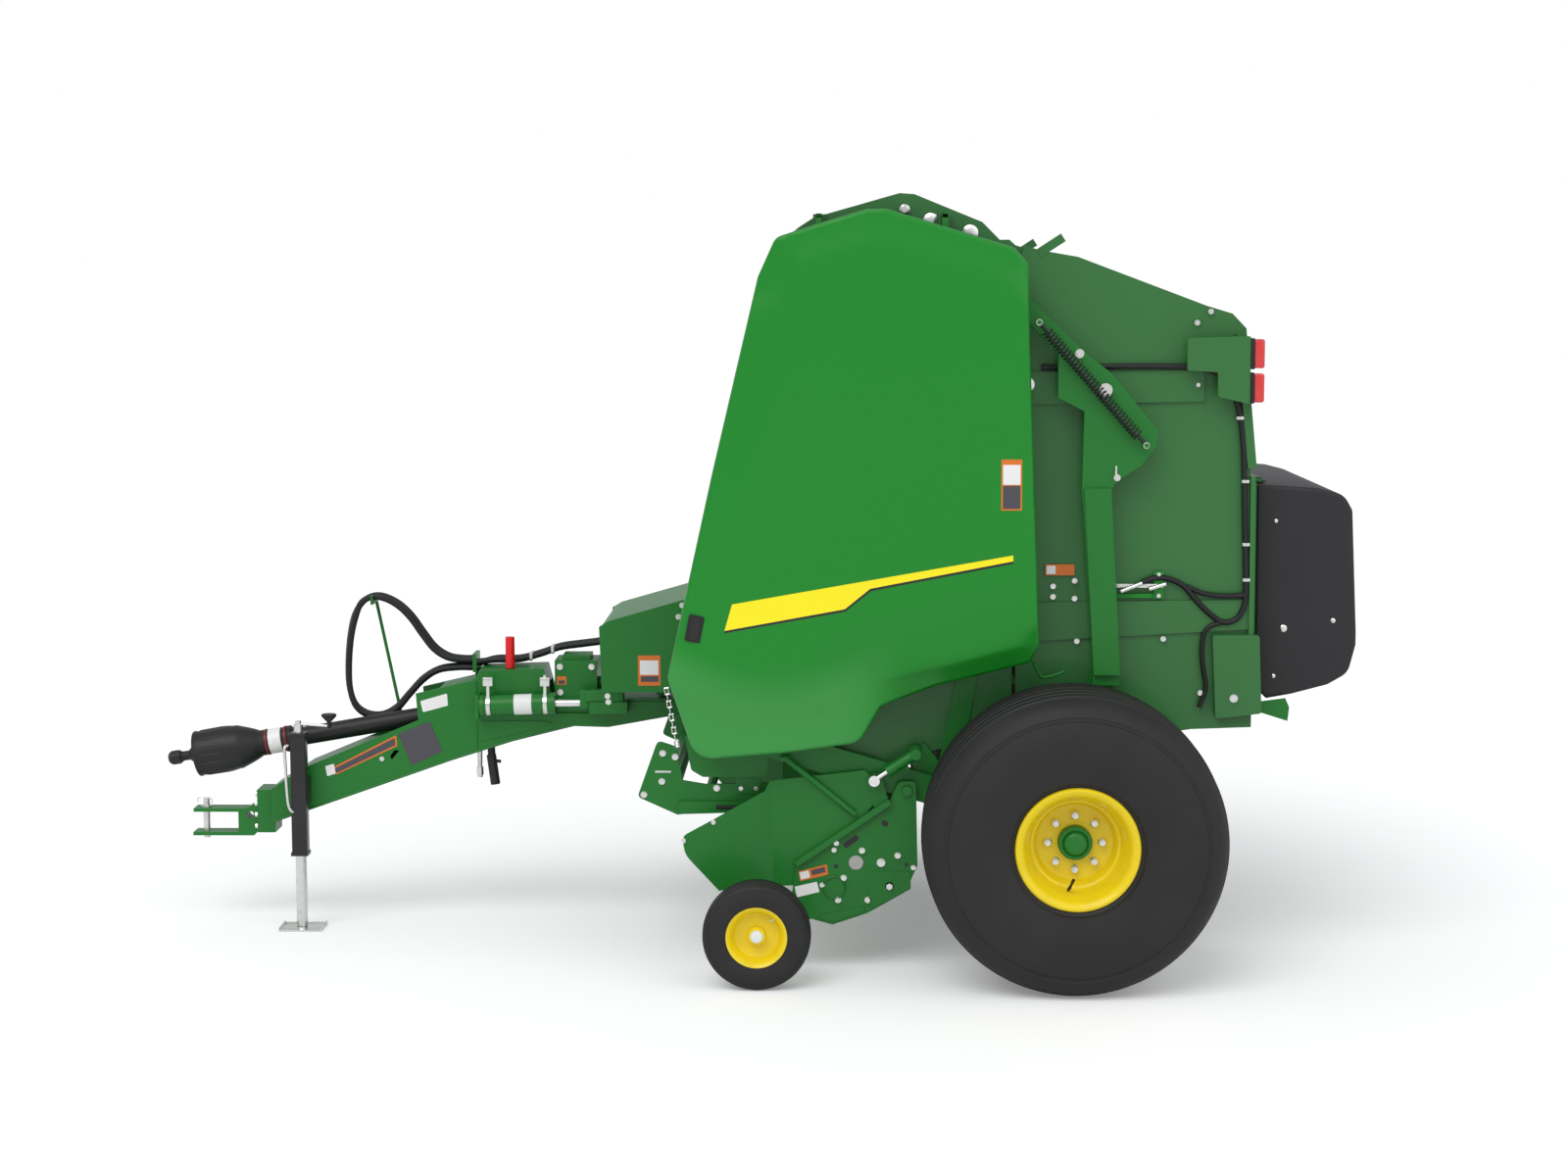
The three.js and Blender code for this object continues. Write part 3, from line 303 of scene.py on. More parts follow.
def belt_cloth(name):
    """Baler belting: a diamond-ribbed face, worn smoother along its length."""
    finish = Finish(name, Specular_IOR_Level=0.3)
    x, y, z = finish.axes()
    ribs = ((x + z) * 330.0).sine() * (y * 420.0).sine()
    wear = finish.noise(0.10, 3.0, (1, 4, 1)).step(0.35, 0.75)
    finish.set("Base Color", finish.mix(wear, (0.018, 0.018, 0.019), (0.042, 0.041, 0.040)))
    finish.set("Roughness", 0.62 - wear * 0.16)
    finish.bump(ribs, 0.0008)
    return finish.material


def plastic(name, colour, roughness=0.5, grain=0.0022, edge=0.0):
    """Moulded plastic with a pebbled grain."""
    finish = Finish(name, Specular_IOR_Level=0.4)
    tone = finish.noise(0.4, 2.0)
    pale = tuple(c * 1.18 + 0.002 for c in colour)
    finish.set("Base Color", finish.mix(tone, colour, pale))
    finish.set("Roughness", finish.noise(0.03) * 0.1 + (roughness - 0.05))
    pebbles = finish.node("TexVoronoi", None, {"Vector": finish.place(), "Scale": 1 / grain})
    finish.bump(pebbles, 0.00012, edge)
    return finish.material


def steel(name, colour, roughness, lines=0.0, edge=0.0):
    """Plated or bare steel with fine drawn lines and a few duller spots."""
    finish = Finish(name, Metallic=1.0)
    spots = finish.noise(0.02, 4.0).step(0.5, 0.8)
    dull = tuple(c * 0.72 for c in colour)
    finish.set("Base Color", finish.mix(spots * 0.6, colour, dull))
    finish.set("Roughness", spots * 0.18 + roughness)
    finish.bump(finish.noise(0.002, 2.0, (1, 1, 12)), 0.00002 + lines, edge)
    return finish.material


def lens(name):
    """Red lamp lens with a grid of small prisms, each with a painted glint: a paler red on its crest."""
    finish = Finish(name, Coat_Weight=0.6, Coat_Roughness=0.05, Specular_IOR_Level=0.5)
    _, y, z = finish.axes()
    prisms = (y * 900.0).sine() * (z * 900.0).sine()
    # Painted glint: the prisms' crests get a paler red, standing in for light caught by them.
    glow = prisms.step(-0.9, 0.9)
    finish.set("Base Color", finish.mix(glow, (0.50, 0.012, 0.014), (0.86, 0.05, 0.04)))
    finish.set("Roughness", 0.22 - glow * 0.08)
    finish.bump(prisms, 0.0004)
    return finish.material


def film(name, colour):
    """Printed vinyl film, left without any print."""
    finish = Finish(name, Coat_Weight=0.2, Coat_Roughness=0.2, Specular_IOR_Level=0.3)
    shade = tuple(c * 0.93 for c in colour)
    finish.set("Base Color", finish.mix(finish.noise(0.06, 3.0), colour, shade))
    finish.set("Roughness", finish.noise(0.02) * 0.1 + 0.3)
    finish.bump(finish.noise(0.006, 1.0), 0.00004)
    return finish.material


GREEN = shield_paint("green_enamel", (0.004, 0.218, 0.014))
GREEN_FRAME = paint("green_enamel_frame", (0.007, 0.162, 0.016), 0.42, 0.0016, 0.18)
GREEN_SHEET = paint("green_enamel_sheet", (0.028, 0.150, 0.034), 0.40, 0.0008)
YELLOW = paint("yellow_enamel", (0.80, 0.60, 0.005), 0.34)
BLACK_PAINT = paint("black_enamel", (0.014, 0.013, 0.015), 0.42, 0.001)
TYRE = rubber("tyre_rubber", (0.0155, 0.0142, 0.0150), 0.56, 0.004)
HOSE = rubber("hose_rubber", (0.010, 0.010, 0.011), 0.40, 0.0015)
BELT = belt_cloth("belting")
CHARCOAL = plastic("charcoal_plastic", (0.0150, 0.0135, 0.0160))
BLACK_PLASTIC = plastic("black_plastic", (0.0105, 0.0098, 0.0110), 0.45)
NET_WHITE = plastic("net_white", (0.72, 0.74, 0.72), 0.5)
RED_PLASTIC = plastic("red_plastic", (0.70, 0.010, 0.014), 0.30)
ZINC = steel("zinc_plate", (0.78, 0.78, 0.75), 0.26)
CHROME = steel("chrome", (0.86, 0.86, 0.86), 0.10)
BARE_STEEL = steel("bare_steel", (0.46, 0.45, 0.43), 0.36, 0.0, 0.0008)
SHAFT_RED = plastic("shaft_collar_red", (0.16, 0.010, 0.014), 0.4)
LENS = lens("lamp_lens")
FILM_WHITE = film("film_white", (0.86, 0.86, 0.85))
FILM_ORANGE = film("film_orange", (0.74, 0.18, 0.02))
FILM_GREY = film("film_grey", (0.075, 0.07, 0.085))
FILM_YELLOW = film("film_yellow", (1.0, 0.86, 0.008))
FILM_BLACK = film("film_black", (0.02, 0.018, 0.022))

for hose in HOSES:
    hose.data.materials.append(HOSE)


# ---------- light and floor ----------
def make_light():
    scene = bpy.context.scene
    scene.view_settings.view_transform = "Standard"
    world = bpy.data.worlds.new("studio")
    scene.world = world
    world.use_nodes = True
    tree = world.node_tree
    sky = tree.nodes["Background"]
    sky.inputs[0].default_value = (0.96, 0.98, 1.0, 1.0)
    sky.inputs[1].default_value = SKY
    backdrop = tree.nodes.new("ShaderNodeBackground")
    backdrop.inputs[0].default_value = (1.0, 1.0, 1.0, 1.0)
    paths = tree.nodes.new("ShaderNodeLightPath")
    seen = tree.nodes.new("ShaderNodeMath")
    seen.operation = "MAXIMUM"
    tree.links.new(paths.outputs["Is Camera Ray"], seen.inputs[0])
    tree.links.new(paths.outputs["Is Transmission Ray"], seen.inputs[1])
    either = tree.nodes.new("ShaderNodeMixShader")
    tree.links.new(seen.outputs[0], either.inputs[0])
    tree.links.new(sky.outputs[0], either.inputs[1])
    tree.links.new(backdrop.outputs[0], either.inputs[2])
    tree.links.new(either.outputs[0], tree.nodes["World Output"].inputs[0])
    for name, strength, spread, direction in LAMPS:
        lamp = bpy.data.lights.new(name, "SUN")
        lamp.energy = strength
        lamp.angle = math.radians(spread)
        holder = bpy.data.objects.new(name, lamp)
        scene.collection.objects.link(holder)
        holder.rotation_euler = Vector(direction).to_track_quat("-Z", "Y").to_euler()


def make_floor():
    bm = bmesh.new()
    bmesh.ops.create_grid(bm, x_segments=1, y_segments=1, size=60)
    mesh = bpy.data.meshes.new("floor")
    bm.to_mesh(mesh)
    bm.free()
    floor = bpy.data.objects.new("floor", mesh)
    bpy.context.scene.collection.objects.link(floor)
    material = bpy.data.materials.new("floor_white")
    material.use_nodes = True
    tree = material.node_tree
    shader = tree.nodes["Principled BSDF"]
    shader.inputs["Base Color"].default_value = (0.93, 0.93, 0.93, 1.0)
    shader.inputs["Roughness"].default_value = 0.9
    shader.inputs["Specular IOR Level"].default_value = 0.0
    glow = tree.nodes.new("ShaderNodeEmission")
    glow.inputs[1].default_value = FLOOR_LIFT
    dark = tree.nodes.new("ShaderNodeEmission")
    dark.inputs[1].default_value = 0.0
    paths = tree.nodes.new("ShaderNodeLightPath")
    lift = tree.nodes.new("ShaderNodeMixShader")
    tree.links.new(paths.outputs["Is Camera Ray"], lift.inputs[0])
    tree.links.new(dark.outputs[0], lift.inputs[1])
    tree.links.new(glow.outputs[0], lift.inputs[2])
    both = tree.nodes.new("ShaderNodeAddShader")
    tree.links.new(shader.outputs[0], both.inputs[0])
    tree.links.new(lift.outputs[0], both.inputs[1])
    tree.links.new(both.outputs[0], tree.nodes["Material Output"].inputs[0])
    floor.data.materials.append(material)


SKY = 0.62
FLOOR_LIFT = 0.19
LAMPS = (
    ("key", 1.15, 40, (0.35, 0.75, -0.9)),
    ("fill", 0.5, 60, (-0.6, 0.6, -0.5)),
)
make_light()
make_floor()


# ---------- shapes ----------
def turn_to(direction):
    """The rotation that takes +Z to a direction."""
    return Vector((0, 0, 1)).rotation_difference(Vector(direction)).to_matrix().to_4x4()


def put(bm, part, matrix):
    bmesh.ops.transform(bm, matrix=matrix, verts=part)


def rod(bm, start, end, radius, sides=16, tip=None):
    """A solid bar between two points, or a cone if tip gives its far radius."""
    start, end = Vector(start), Vector(end)
    run = end - start
    made = bmesh.ops.create_cone(
        bm,
        cap_ends=True,
        segments=sides,
        radius1=radius,
        radius2=radius if tip is None else tip,
        depth=run.length,
    )
    middle = Matrix.Translation((start + end) / 2)
    put(bm, made["verts"], middle @ turn_to(run))


def block(bm, low, high, bevel=0.0, segments=2):
    """A box between two corners, with rounded edges."""
    low, high = Vector(low), Vector(high)
    verts = bmesh.ops.create_cube(bm, size=1)["verts"]
    size = Matrix.Diagonal((*(high - low), 1))
    put(bm, verts, Matrix.Translation((low + high) / 2) @ size)
    if bevel:
        edges = dict.fromkeys(edge for vert in verts for edge in vert.link_edges)
        round_off(bm, edges, bevel, segments)


def round_off(bm, edges, width, segments=2):
    bmesh.ops.bevel(
        bm, geom=list(edges), offset=width, segments=segments, profile=0.5, affect="EDGES", material=-1
    )


def spun(bm, profile, centre, axis=(0, 1, 0), steps=64, matrix=None):
    """A turned body: profile points are (radius, place along the axis), from one end to the other."""
    verts = [bm.verts.new((radius, 0, along)) for radius, along in profile]
    edges = [bm.edges.new(pair) for pair in zip(verts, verts[1:])]
    made = bmesh.ops.spin(
        bm,
        geom=verts + edges,
        cent=(0, 0, 0),
        axis=(0, 0, 1),
        angle=math.tau,
        steps=steps,
        use_merge=True,
    )
    last = [v for e in made["geom_last"] for v in ([e] if isinstance(e, bmesh.types.BMVert) else e.verts)]
    body = linked(last + [v for v in verts if v.is_valid])
    bmesh.ops.remove_doubles(bm, verts=body, dist=1e-6)
    body = [v for v in body if v.is_valid]
    place = Matrix.Translation(Vector(centre)) @ turn_to(axis)
    put(bm, body, place if matrix is None else matrix @ place)


def linked(start):
    """All the vertices of the bodies that the given vertices belong to, always in the same order."""
    found = dict.fromkeys(start)
    todo = list(found)
    while todo:
        for edge in todo.pop().link_edges:
            for vert in edge.verts:
                if vert not in found:
                    found[vert] = None
                    todo.append(vert)
    return list(found)


def rounded(corners, steps=5):
    """An outline of (x, z) points from corners of (x, z, radius)."""
    points = []
    count = len(corners)
    for i, corner in enumerate(corners):
        here = Vector(corner[:2])
        radius = corner[2] if len(corner) > 2 else 0
        if not radius:
            points.append(here)
            continue
        back = (Vector(corners[i - 1][:2]) - here).normalized()
        ahead = (Vector(corners[(i + 1) % count][:2]) - here).normalized()
        half = back.angle(ahead) / 2
        start, end = here + back * radius / math.tan(half), here + ahead * radius / math.tan(half)
        centre = here + (back + ahead).normalized() * radius / math.sin(half)
        for k in range(steps + 1):
            ray = (start - centre).lerp(end - centre, k / steps)
            points.append(centre + ray.normalized() * radius)
    return points


def sheet(bm, corners, y0, y1, bevel=0.0, segments=2, steps=5):
    """A plate in the XZ plane between two y, cut to an outline given from the axle."""
    outline = rounded(corners, steps)
    face = bm.faces.new([bm.verts.new(spot(p[0], y0, p[1])) for p in outline])
    made = bmesh.ops.extrude_face_region(bm, geom=[face])["geom"]
    verts = [v for v in made if isinstance(v, bmesh.types.BMVert)]
    bmesh.ops.translate(bm, vec=(0, y1 - y0, 0), verts=verts)
    body = linked(verts)
    faces = list(dict.fromkeys(f for v in body for f in v.link_faces))
    bmesh.ops.recalc_face_normals(bm, faces=faces)
    if bevel:
        rim = list(dict.fromkeys(e for f in faces if len(f.verts) == len(outline) for e in f.edges))
        round_off(bm, rim, bevel, segments)


def finished(name, bm, body, material, replaces=(), smooth=35, recalc=True):
    """Makes a piece of a bmesh, in place on its body."""
    if recalc:
        bmesh.ops.recalc_face_normals(bm, faces=bm.faces[:])
    mesh = bpy.data.meshes.new(name)
    bm.to_mesh(mesh)
    bm.free()
    mesh.materials.append(material)
    piece = bpy.data.objects.new(name, mesh)
    bpy.context.scene.collection.objects.link(piece)
    mesh.shade_smooth()
    mesh.set_sharp_from_angle(angle=math.radians(smooth))
    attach(piece, body)
    if replaces:
        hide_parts(*replaces)


def dress(material, *nodes):
    """Gives CAD nodes their finish."""
    for node in nodes:
        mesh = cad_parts[node].data
        mesh.materials.clear()
        mesh.materials.append(material)


def to_side(bm, sign):
    """Turns a right-hand shape, made at positive y, into the left-hand one."""
    if sign < 0:
        bmesh.ops.scale(bm, vec=(1, -1, 1), verts=bm.verts[:])
        bmesh.ops.reverse_faces(bm, faces=bm.faces[:])


def hex_bolt(bm, place, axis, across=0.024, height=0.010, washer=True):
    """A bolt's head on its washer, standing on a surface."""
    place, axis = Vector(place), Vector(axis).normalized()
    foot = place - axis * 0.002
    if washer:
        rod(bm, foot, place + axis * 0.003, across * 0.72, 16)
    rod(bm, foot, place + axis * (0.003 + height), across * 0.577, 6)


def dome(bm, place, axis, radius, height=0.3):
    """A round cap standing on a surface."""
    profile = [(radius, -0.003)] + [
        (radius * math.cos(a), radius * height * math.sin(a)) for a in (0, 0.4, 0.8, 1.2, math.pi / 2)
    ]
    profile[-1] = (0, radius * height)
    spun(bm, profile, place, axis, 20)


# ---------- wheels ----------
WHEEL_RADIUS = AXLE.z
TYRE_HALF = (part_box("left_tyre")[1].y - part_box("left_tyre")[0].y) / 2
RIM_FLANGE = 0.231
BOLT_CIRCLE = 0.1015
BOLT_COUNT = 8


# A tyre's sidewall from the bead out: shares of its height, and of half the tyre's width.
SIDEWALL = [
    (0, 0.80), (0.035, 0.86), (0.075, 0.885), (0.095, 0.93), (0.125, 0.935), (0.25, 0.985), (0.40, 1),
    (0.55, 0.99), (0.66, 0.965), (0.735, 0.935), (0.745, 0.915), (0.775, 0.905), (0.785, 0.91),
    (0.855, 0.865), (0.925, 0.775), (0.965, 0.675),
]


def tyre_profile(radius, half, bead, ribs, groove):
    """A tyre's section from one bead over the sidewall, the ribbed tread and the other sidewall."""
    wall = radius - bead
    side = [(bead + wall * up, half * out) for up, out in SIDEWALL]
    tread = []
    rib = half * 1.30 / ribs
    for k in range(ribs):
        start = half * 0.65 - k * rib
        crown = radius - wall * 0.022 * abs(2 * k - ribs + 1) / ribs
        tread += [(crown - groove, start), (crown, start - rib * 0.12)]
        tread += [(crown, start - rib * 0.80), (crown - groove, start - rib * 0.92)]
    return side + tread + [(r, -y) for r, y in reversed(side)]


def closed(profile):
    """A profile that ends where it starts."""
    return [*profile, profile[0]]


def big_tyre(name, sign):
    bm = bmesh.new()
    profile = tyre_profile(WHEEL_RADIUS, TYRE_HALF, RIM_FLANGE - 0.013, 6, 0.011)
    spun(bm, closed(profile), (0, 0, 0), steps=128)
    bmesh.ops.translate(bm, verts=bm.verts[:], vec=wheel_centre(sign))
    finished(f"{name}_tyre_moulded", bm, f"{name}_wheel", TYRE, [f"{name}_tyre"], smooth=30)


def wheel_centre(sign):
    return Vector((AXLE.x, sign * abs(AXLE.y), AXLE.z))


def on_wheel(name, sign, label, bm, material, replaces=()):
    """Sets a shape made round the origin, with its outer face at positive y, on a wheel."""
    to_side(bm, sign)
    bmesh.ops.translate(bm, verts=bm.verts[:], vec=wheel_centre(sign))
    finished(f"{name}_{label}", bm, f"{name}_wheel", material, replaces, 30)


def round_wheel(k, out):
    """The place of one of the wheel's bolts, so far out from its middle plane."""
    angle = math.tau * k / BOLT_COUNT
    return Vector((BOLT_CIRCLE * math.cos(angle), out, BOLT_CIRCLE * math.sin(angle)))


def big_rim(name, sign):
    """Welded rim: a rolled flange, a stepped barrel and a recessed disc on the hub."""
    bm = bmesh.new()
    flange = RIM_FLANGE
    outer = [
        (0.064, 0.070), (0.132, 0.070), (0.141, 0.073), (0.147, 0.082), (0.150, 0.104), (0.157, 0.118),
        (0.166, 0.122), (0.171, 0.130), (0.175, 0.176), (0.186, 0.196), (0.193, 0.214), (0.199, 0.228),
        (0.208, 0.236), (0.219, 0.2405), (0.227, 0.239), (flange, 0.233), (flange, 0.229),
        (0.222, 0.226), (0.2165, 0.219), (0.2165, -0.219), (0.222, -0.226), (flange, -0.229),
        (flange, -0.235), (0.219, -0.2405), (0.205, -0.230), (0.200, -0.190), (0.165, 0.045),
        (0.145, 0.058), (0.064, 0.058),
    ]
    spun(bm, closed(outer), (0, 0, 0), steps=96)
    for k in range(BOLT_COUNT):
        seat = [(0.021, -0.002), (0.021, 0.001), (0.014, 0.004), (0, 0.004)]
        spun(bm, seat, round_wheel(k, 0.070), (0, 1, 0), 20)
    on_wheel(name, sign, "rim_pressed", bm, YELLOW, [f"{name}_rim"])


def wheel_nuts(name, sign):
    """Studs with their nuts on conical washers."""
    bm = bmesh.new()
    for k in range(BOLT_COUNT):
        seat = round_wheel(k, 0.073)
        spun(bm, [(0.0155, 0), (0.0155, 0.004), (0.0125, 0.007), (0, 0.007)], seat, (0, 1, 0), 16)
        rod(bm, seat + Vector((0, 0.006, 0)), seat + Vector((0, 0.024, 0)), 0.0125, 6)
        rod(bm, seat + Vector((0, 0.022, 0)), seat + Vector((0, 0.031, 0)), 0.0075, 12)
    on_wheel(name, sign, "wheel_nuts", bm, ZINC)


def hub_cap(name, sign):
    """The hub's end with its stepped dust cap."""
    bm = bmesh.new()
    cap = [
        (0.0635, 0.040), (0.0635, 0.102), (0.060, 0.108), (0.050, 0.110), (0.046, 0.106),
        (0.044, 0.112), (0.040, 0.122), (0.030, 0.128), (0.016, 0.130), (0, 0.130),
    ]
    spun(bm, cap, (0, 0, 0), (0, 1, 0), 48)
    on_wheel(name, sign, "hub_cap", bm, GREEN_FRAME)


def valve(name, sign):
    """The tyre's valve: a bent stem with its cap."""
    bm = bmesh.new()
    low = Vector((-0.028, 0.150, -0.164))
    bend = Vector((-0.024, 0.176, -0.150))
    tip = Vector((-0.014, 0.196, -0.120))
    rod(bm, low, bend, 0.0065, 12)
    rod(bm, bend, tip, 0.005, 12)
    rod(bm, tip - (tip - bend) * 0.3, tip + (tip - bend) * 0.1, 0.0062, 12)
    on_wheel(name, sign, "valve", bm, BLACK_PLASTIC)


GAUGE_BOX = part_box("left_gauge_tyre")
GAUGE_CENTRE = (GAUGE_BOX[0] + GAUGE_BOX[1]) / 2
GAUGE_RADIUS = GAUGE_CENTRE.z


def gauge_wheel(name, sign):
    """The pickup's small wheel: its tyre, its rim on a long hub, and a white cap with a nipple."""
    centre = Vector((GAUGE_CENTRE.x, sign * abs(GAUGE_CENTRE.y), GAUGE_CENTRE.z))
    half = (GAUGE_BOX[1].y - GAUGE_BOX[0].y) / 2
    bm = bmesh.new()
    spun(bm, closed(tyre_profile(GAUGE_RADIUS, half, 0.1125, 3, 0.006)), centre, steps=80)
    body = f"{name}_gauge_wheel"
    finished(f"{name}_gauge_tyre_moulded", bm, body, TYRE, [f"{name}_gauge_tyre"], smooth=30)
    bm = bmesh.new()
    disc = [
        (0.034, 0.006), (0.070, 0.004), (0.084, 0.010), (0.090, 0.026), (0.096, 0.044), (0.106, 0.056),
        (0.1165, 0.060), (0.1165, 0.056), (0.1105, 0.050), (0.1105, -0.050), (0.1165, -0.056),
        (0.1165, -0.060), (0.106, -0.056), (0.098, -0.044), (0.094, -0.002), (0.034, -0.006),
    ]
    spun(bm, closed(disc), (0, 0, 0), steps=64)
    hub = [(0.0155, -0.050), (0.034, -0.050), (0.034, 0.032), (0.030, 0.038), (0.0155, 0.038)]
    spun(bm, closed(hub), (0, 0, 0), steps=32)
    to_side(bm, sign)
    bmesh.ops.translate(bm, verts=bm.verts[:], vec=centre)
    finished(f"{name}_gauge_rim_pressed", bm, body, YELLOW, [f"{name}_gauge_rim"], smooth=30)
    bm = bmesh.new()
    cap = [(0.024, 0.030), (0.024, 0.042), (0.021, 0.047), (0.010, 0.050), (0, 0.050)]
    spun(bm, cap, (0, 0, 0), steps=24)
    rod(bm, (0.052, 0.004, 0.052), (0.060, 0.024, 0.060), 0.004, 10)
    to_side(bm, sign)
    bmesh.ops.translate(bm, verts=bm.verts[:], vec=centre)
    finished(f"{name}_gauge_cap", bm, body, NET_WHITE, smooth=30)


for name, sign in SIDES:
    big_tyre(name, sign)
    big_rim(name, sign)
    wheel_nuts(name, sign)
    hub_cap(name, sign)
    valve(name, sign)
    gauge_wheel(name, sign)


# ---------- side shields ----------
SHIELD_FACE = 1.005
SHIELD_BACK = 0.900
SHIELD_OUTLINE = [
    (-1.176, 2.655, 0.060), (-1.110, 2.800, 0.050), (-0.960, 2.848, 0.040), (-0.770, 2.904, 0.030),
    (-0.698, 2.904, 0.030), (-0.225, 2.760, 0.060), (-0.172, 2.700, 0.030), (-0.168, 2.478),
    (-0.123, 1.272, 0.030), (-0.160, 1.210, 0.030), (-0.516, 1.122), (-0.655, 1.069, 0.060),
    (-0.716, 1.045, 0.040), (-0.798, 0.905, 0.070), (-1.080, 0.866), (-1.416, 0.838, 0.090),
    (-1.522, 1.151, 0.040), (-1.350, 1.924),
]


def from_line(point, start, end):
    """How far a point lies from a stretch of line."""
    run = end - start
    share = max(0.0, min(1.0, (point - start).dot(run) / run.length_squared))
    return (start + run * share - point).length


def ease(t):
    t = max(0.0, min(1.0, t))
    return t * t * (3 - 2 * t)


def lean(point, line, reach, depth):
    """How far the skin is drawn in next to an edge line."""
    away = min(from_line(point, a, b) for a, b in zip(line, line[1:]))
    return depth * (1 - ease(away / reach))


FRONT_EDGE = [(-1.176, 2.655), (-1.350, 1.924), (-1.522, 1.151), (-1.416, 0.838)]
TOP_EDGE = [(-1.176, 2.655), (-1.110, 2.800), (-0.770, 2.904), (-0.698, 2.904), (-0.225, 2.760)]
TOP_EDGE += [(-0.172, 2.700)]
REAR_EDGE = [(-0.172, 2.700), (-0.168, 2.478), (-0.123, 1.272)]
LOW_EDGE = [(-1.416, 0.838), (-1.080, 0.866), (-0.798, 0.905), (-0.716, 1.045)]
HEEL_EDGE = [(-0.716, 1.045), (-0.516, 1.122), (-0.160, 1.210), (-0.123, 1.272)]
SHIELD_EDGES = (
    ([Vector(p) for p in FRONT_EDGE], 0.17, 0.016),
    ([Vector(p) for p in TOP_EDGE], 0.16, 0.024),
    ([Vector(p) for p in REAR_EDGE], 0.035, 0.006),
    ([Vector(p) for p in LOW_EDGE], 0.34, 0.042),
    ([Vector(p) for p in HEEL_EDGE], 0.10, 0.030),
)
SHIELD_PROUD = 0.030
SHIELD_NET = 0.026
SHIELD_SKIN = 0.004


def shield_rise(x, z):
    """How far the skin stands out of its rim at a point."""
    point = Vector((x, z))
    drawn = sum(lean(point, *edge) for edge in SHIELD_EDGES)
    return max(0.0, SHIELD_PROUD - drawn * 0.9)


def grid_cut(bm, low, high, pitch):
    """Cuts the faces into a square net, so that they can be bent."""
    for axis in (0, 2):
        count = int((high[axis] - low[axis]) / pitch)
        for k in range(1, count + 1):
            place = list(low)
            place[axis] = low[axis] + k * pitch
            normal = [0, 0, 0]
            normal[axis] = 1
            bmesh.ops.bisect_plane(
                bm, geom=bm.verts[:] + bm.edges[:] + bm.faces[:], dist=1e-6, plane_co=place, plane_no=normal
            )


def shield(name, sign):
    """The skin: a shallow tray, cut into a net and drawn out between its edges."""
    bm = bmesh.new()
    outline = rounded(SHIELD_OUTLINE, 6)
    face = bm.faces.new([bm.verts.new(spot(p.x, SHIELD_FACE - 0.001, p.y)) for p in outline])
    walls = bmesh.ops.extrude_edge_only(bm, edges=face.edges[:])["geom"]
    rim = [v for v in walls if isinstance(v, bmesh.types.BMVert)]
    bmesh.ops.translate(bm, vec=(0, SHIELD_BACK + 0.001 - SHIELD_FACE, 0), verts=rim)
    bmesh.ops.recalc_face_normals(bm, faces=bm.faces[:])
    if face.normal.y < 0:
        bmesh.ops.reverse_faces(bm, faces=bm.faces[:])
    round_off(bm, face.edges[:], 0.014, 4)
    grid_cut(bm, spot(-1.53, 0, 0.83), spot(-0.12, 0, 2.91), SHIELD_NET)
    for vert in bm.verts:
        if vert.co.y > SHIELD_FACE - 0.020:
            depth = ease((vert.co.y - SHIELD_FACE + 0.020) / 0.019)
            vert.co.y += shield_rise(vert.co.x - AXLE_X, vert.co.z) * depth
    bmesh.ops.solidify(bm, geom=bm.faces[:], thickness=SHIELD_SKIN)
    to_side(bm, sign)
    finished(f"{name}_shield_skin", bm, f"{name}_shield", GREEN, [f"{name}_side_shield"], 40, False)


def shield_frame(name, sign):
    """Hinge arms, and the folded stiffeners on the shield's inside."""
    bm = bmesh.new()
    for x in (-0.950, -0.480):
        block(bm, spot(x - 0.011, 0.831, 2.871), spot(x + 0.011, 0.930, 2.889), 0.002)
        block(bm, spot(x - 0.011, 0.904, 2.780), spot(x + 0.011, 0.930, 2.889), 0.002)
    for x0, x1, z in ((-1.22, -0.21, 2.30), (-1.36, -0.20, 1.72)):
        block(bm, spot(x0, 0.972, z - 0.03), spot(x1, 0.990, z + 0.03), 0.004)
    to_side(bm, sign)
    finished(f"{name}_shield_frame", bm, f"{name}_shield", GREEN_FRAME, smooth=30, recalc=False)


def on_shield(name, sign, label, outline, material, lift=0.0006):
    """A thin film that follows the shield's skin."""
    bm = bmesh.new()
    points = rounded(outline)
    bm.faces.new([bm.verts.new(spot(p.x, 0, p.y)) for p in points])
    low = spot(min(p.x for p in points), 0, min(p.y for p in points))
    high = spot(max(p.x for p in points), 0, max(p.y for p in points))
    grid_cut(bm, low, high, SHIELD_NET)
    for vert in bm.verts:
        vert.co.y = SHIELD_FACE - 0.001 + shield_rise(vert.co.x - AXLE_X, vert.co.z) + lift
    bmesh.ops.recalc_face_normals(bm, faces=bm.faces[:])
    if sum(f.normal.y for f in bm.faces) < 0:
        bmesh.ops.reverse_faces(bm, faces=bm.faces[:])
    bmesh.ops.solidify(bm, geom=bm.faces[:], thickness=0.0004)
    to_side(bm, sign)
    finished(f"{name}_{label}", bm, f"{name}_shield", material, smooth=40, recalc=False)


STRIPE = [(-1.275, 1.436), (-1.304, 1.336), (-0.853, 1.418), (-0.758, 1.495), (-0.225, 1.598)]
STRIPE += [(-0.225, 1.620)]
STRIPE_SHADE = [(-1.304, 1.336), (-1.3065, 1.327), (-0.851, 1.409), (-0.756, 1.486), (-0.225, 1.589)]
STRIPE_SHADE += [(-0.225, 1.598), (-0.758, 1.495), (-0.853, 1.418)]
FIELD_LIFT = 0.0011


def upright_label(x0, z0, x1, z1):
    return [(x0, z0), (x0, z1), (x1, z1), (x1, z0)]


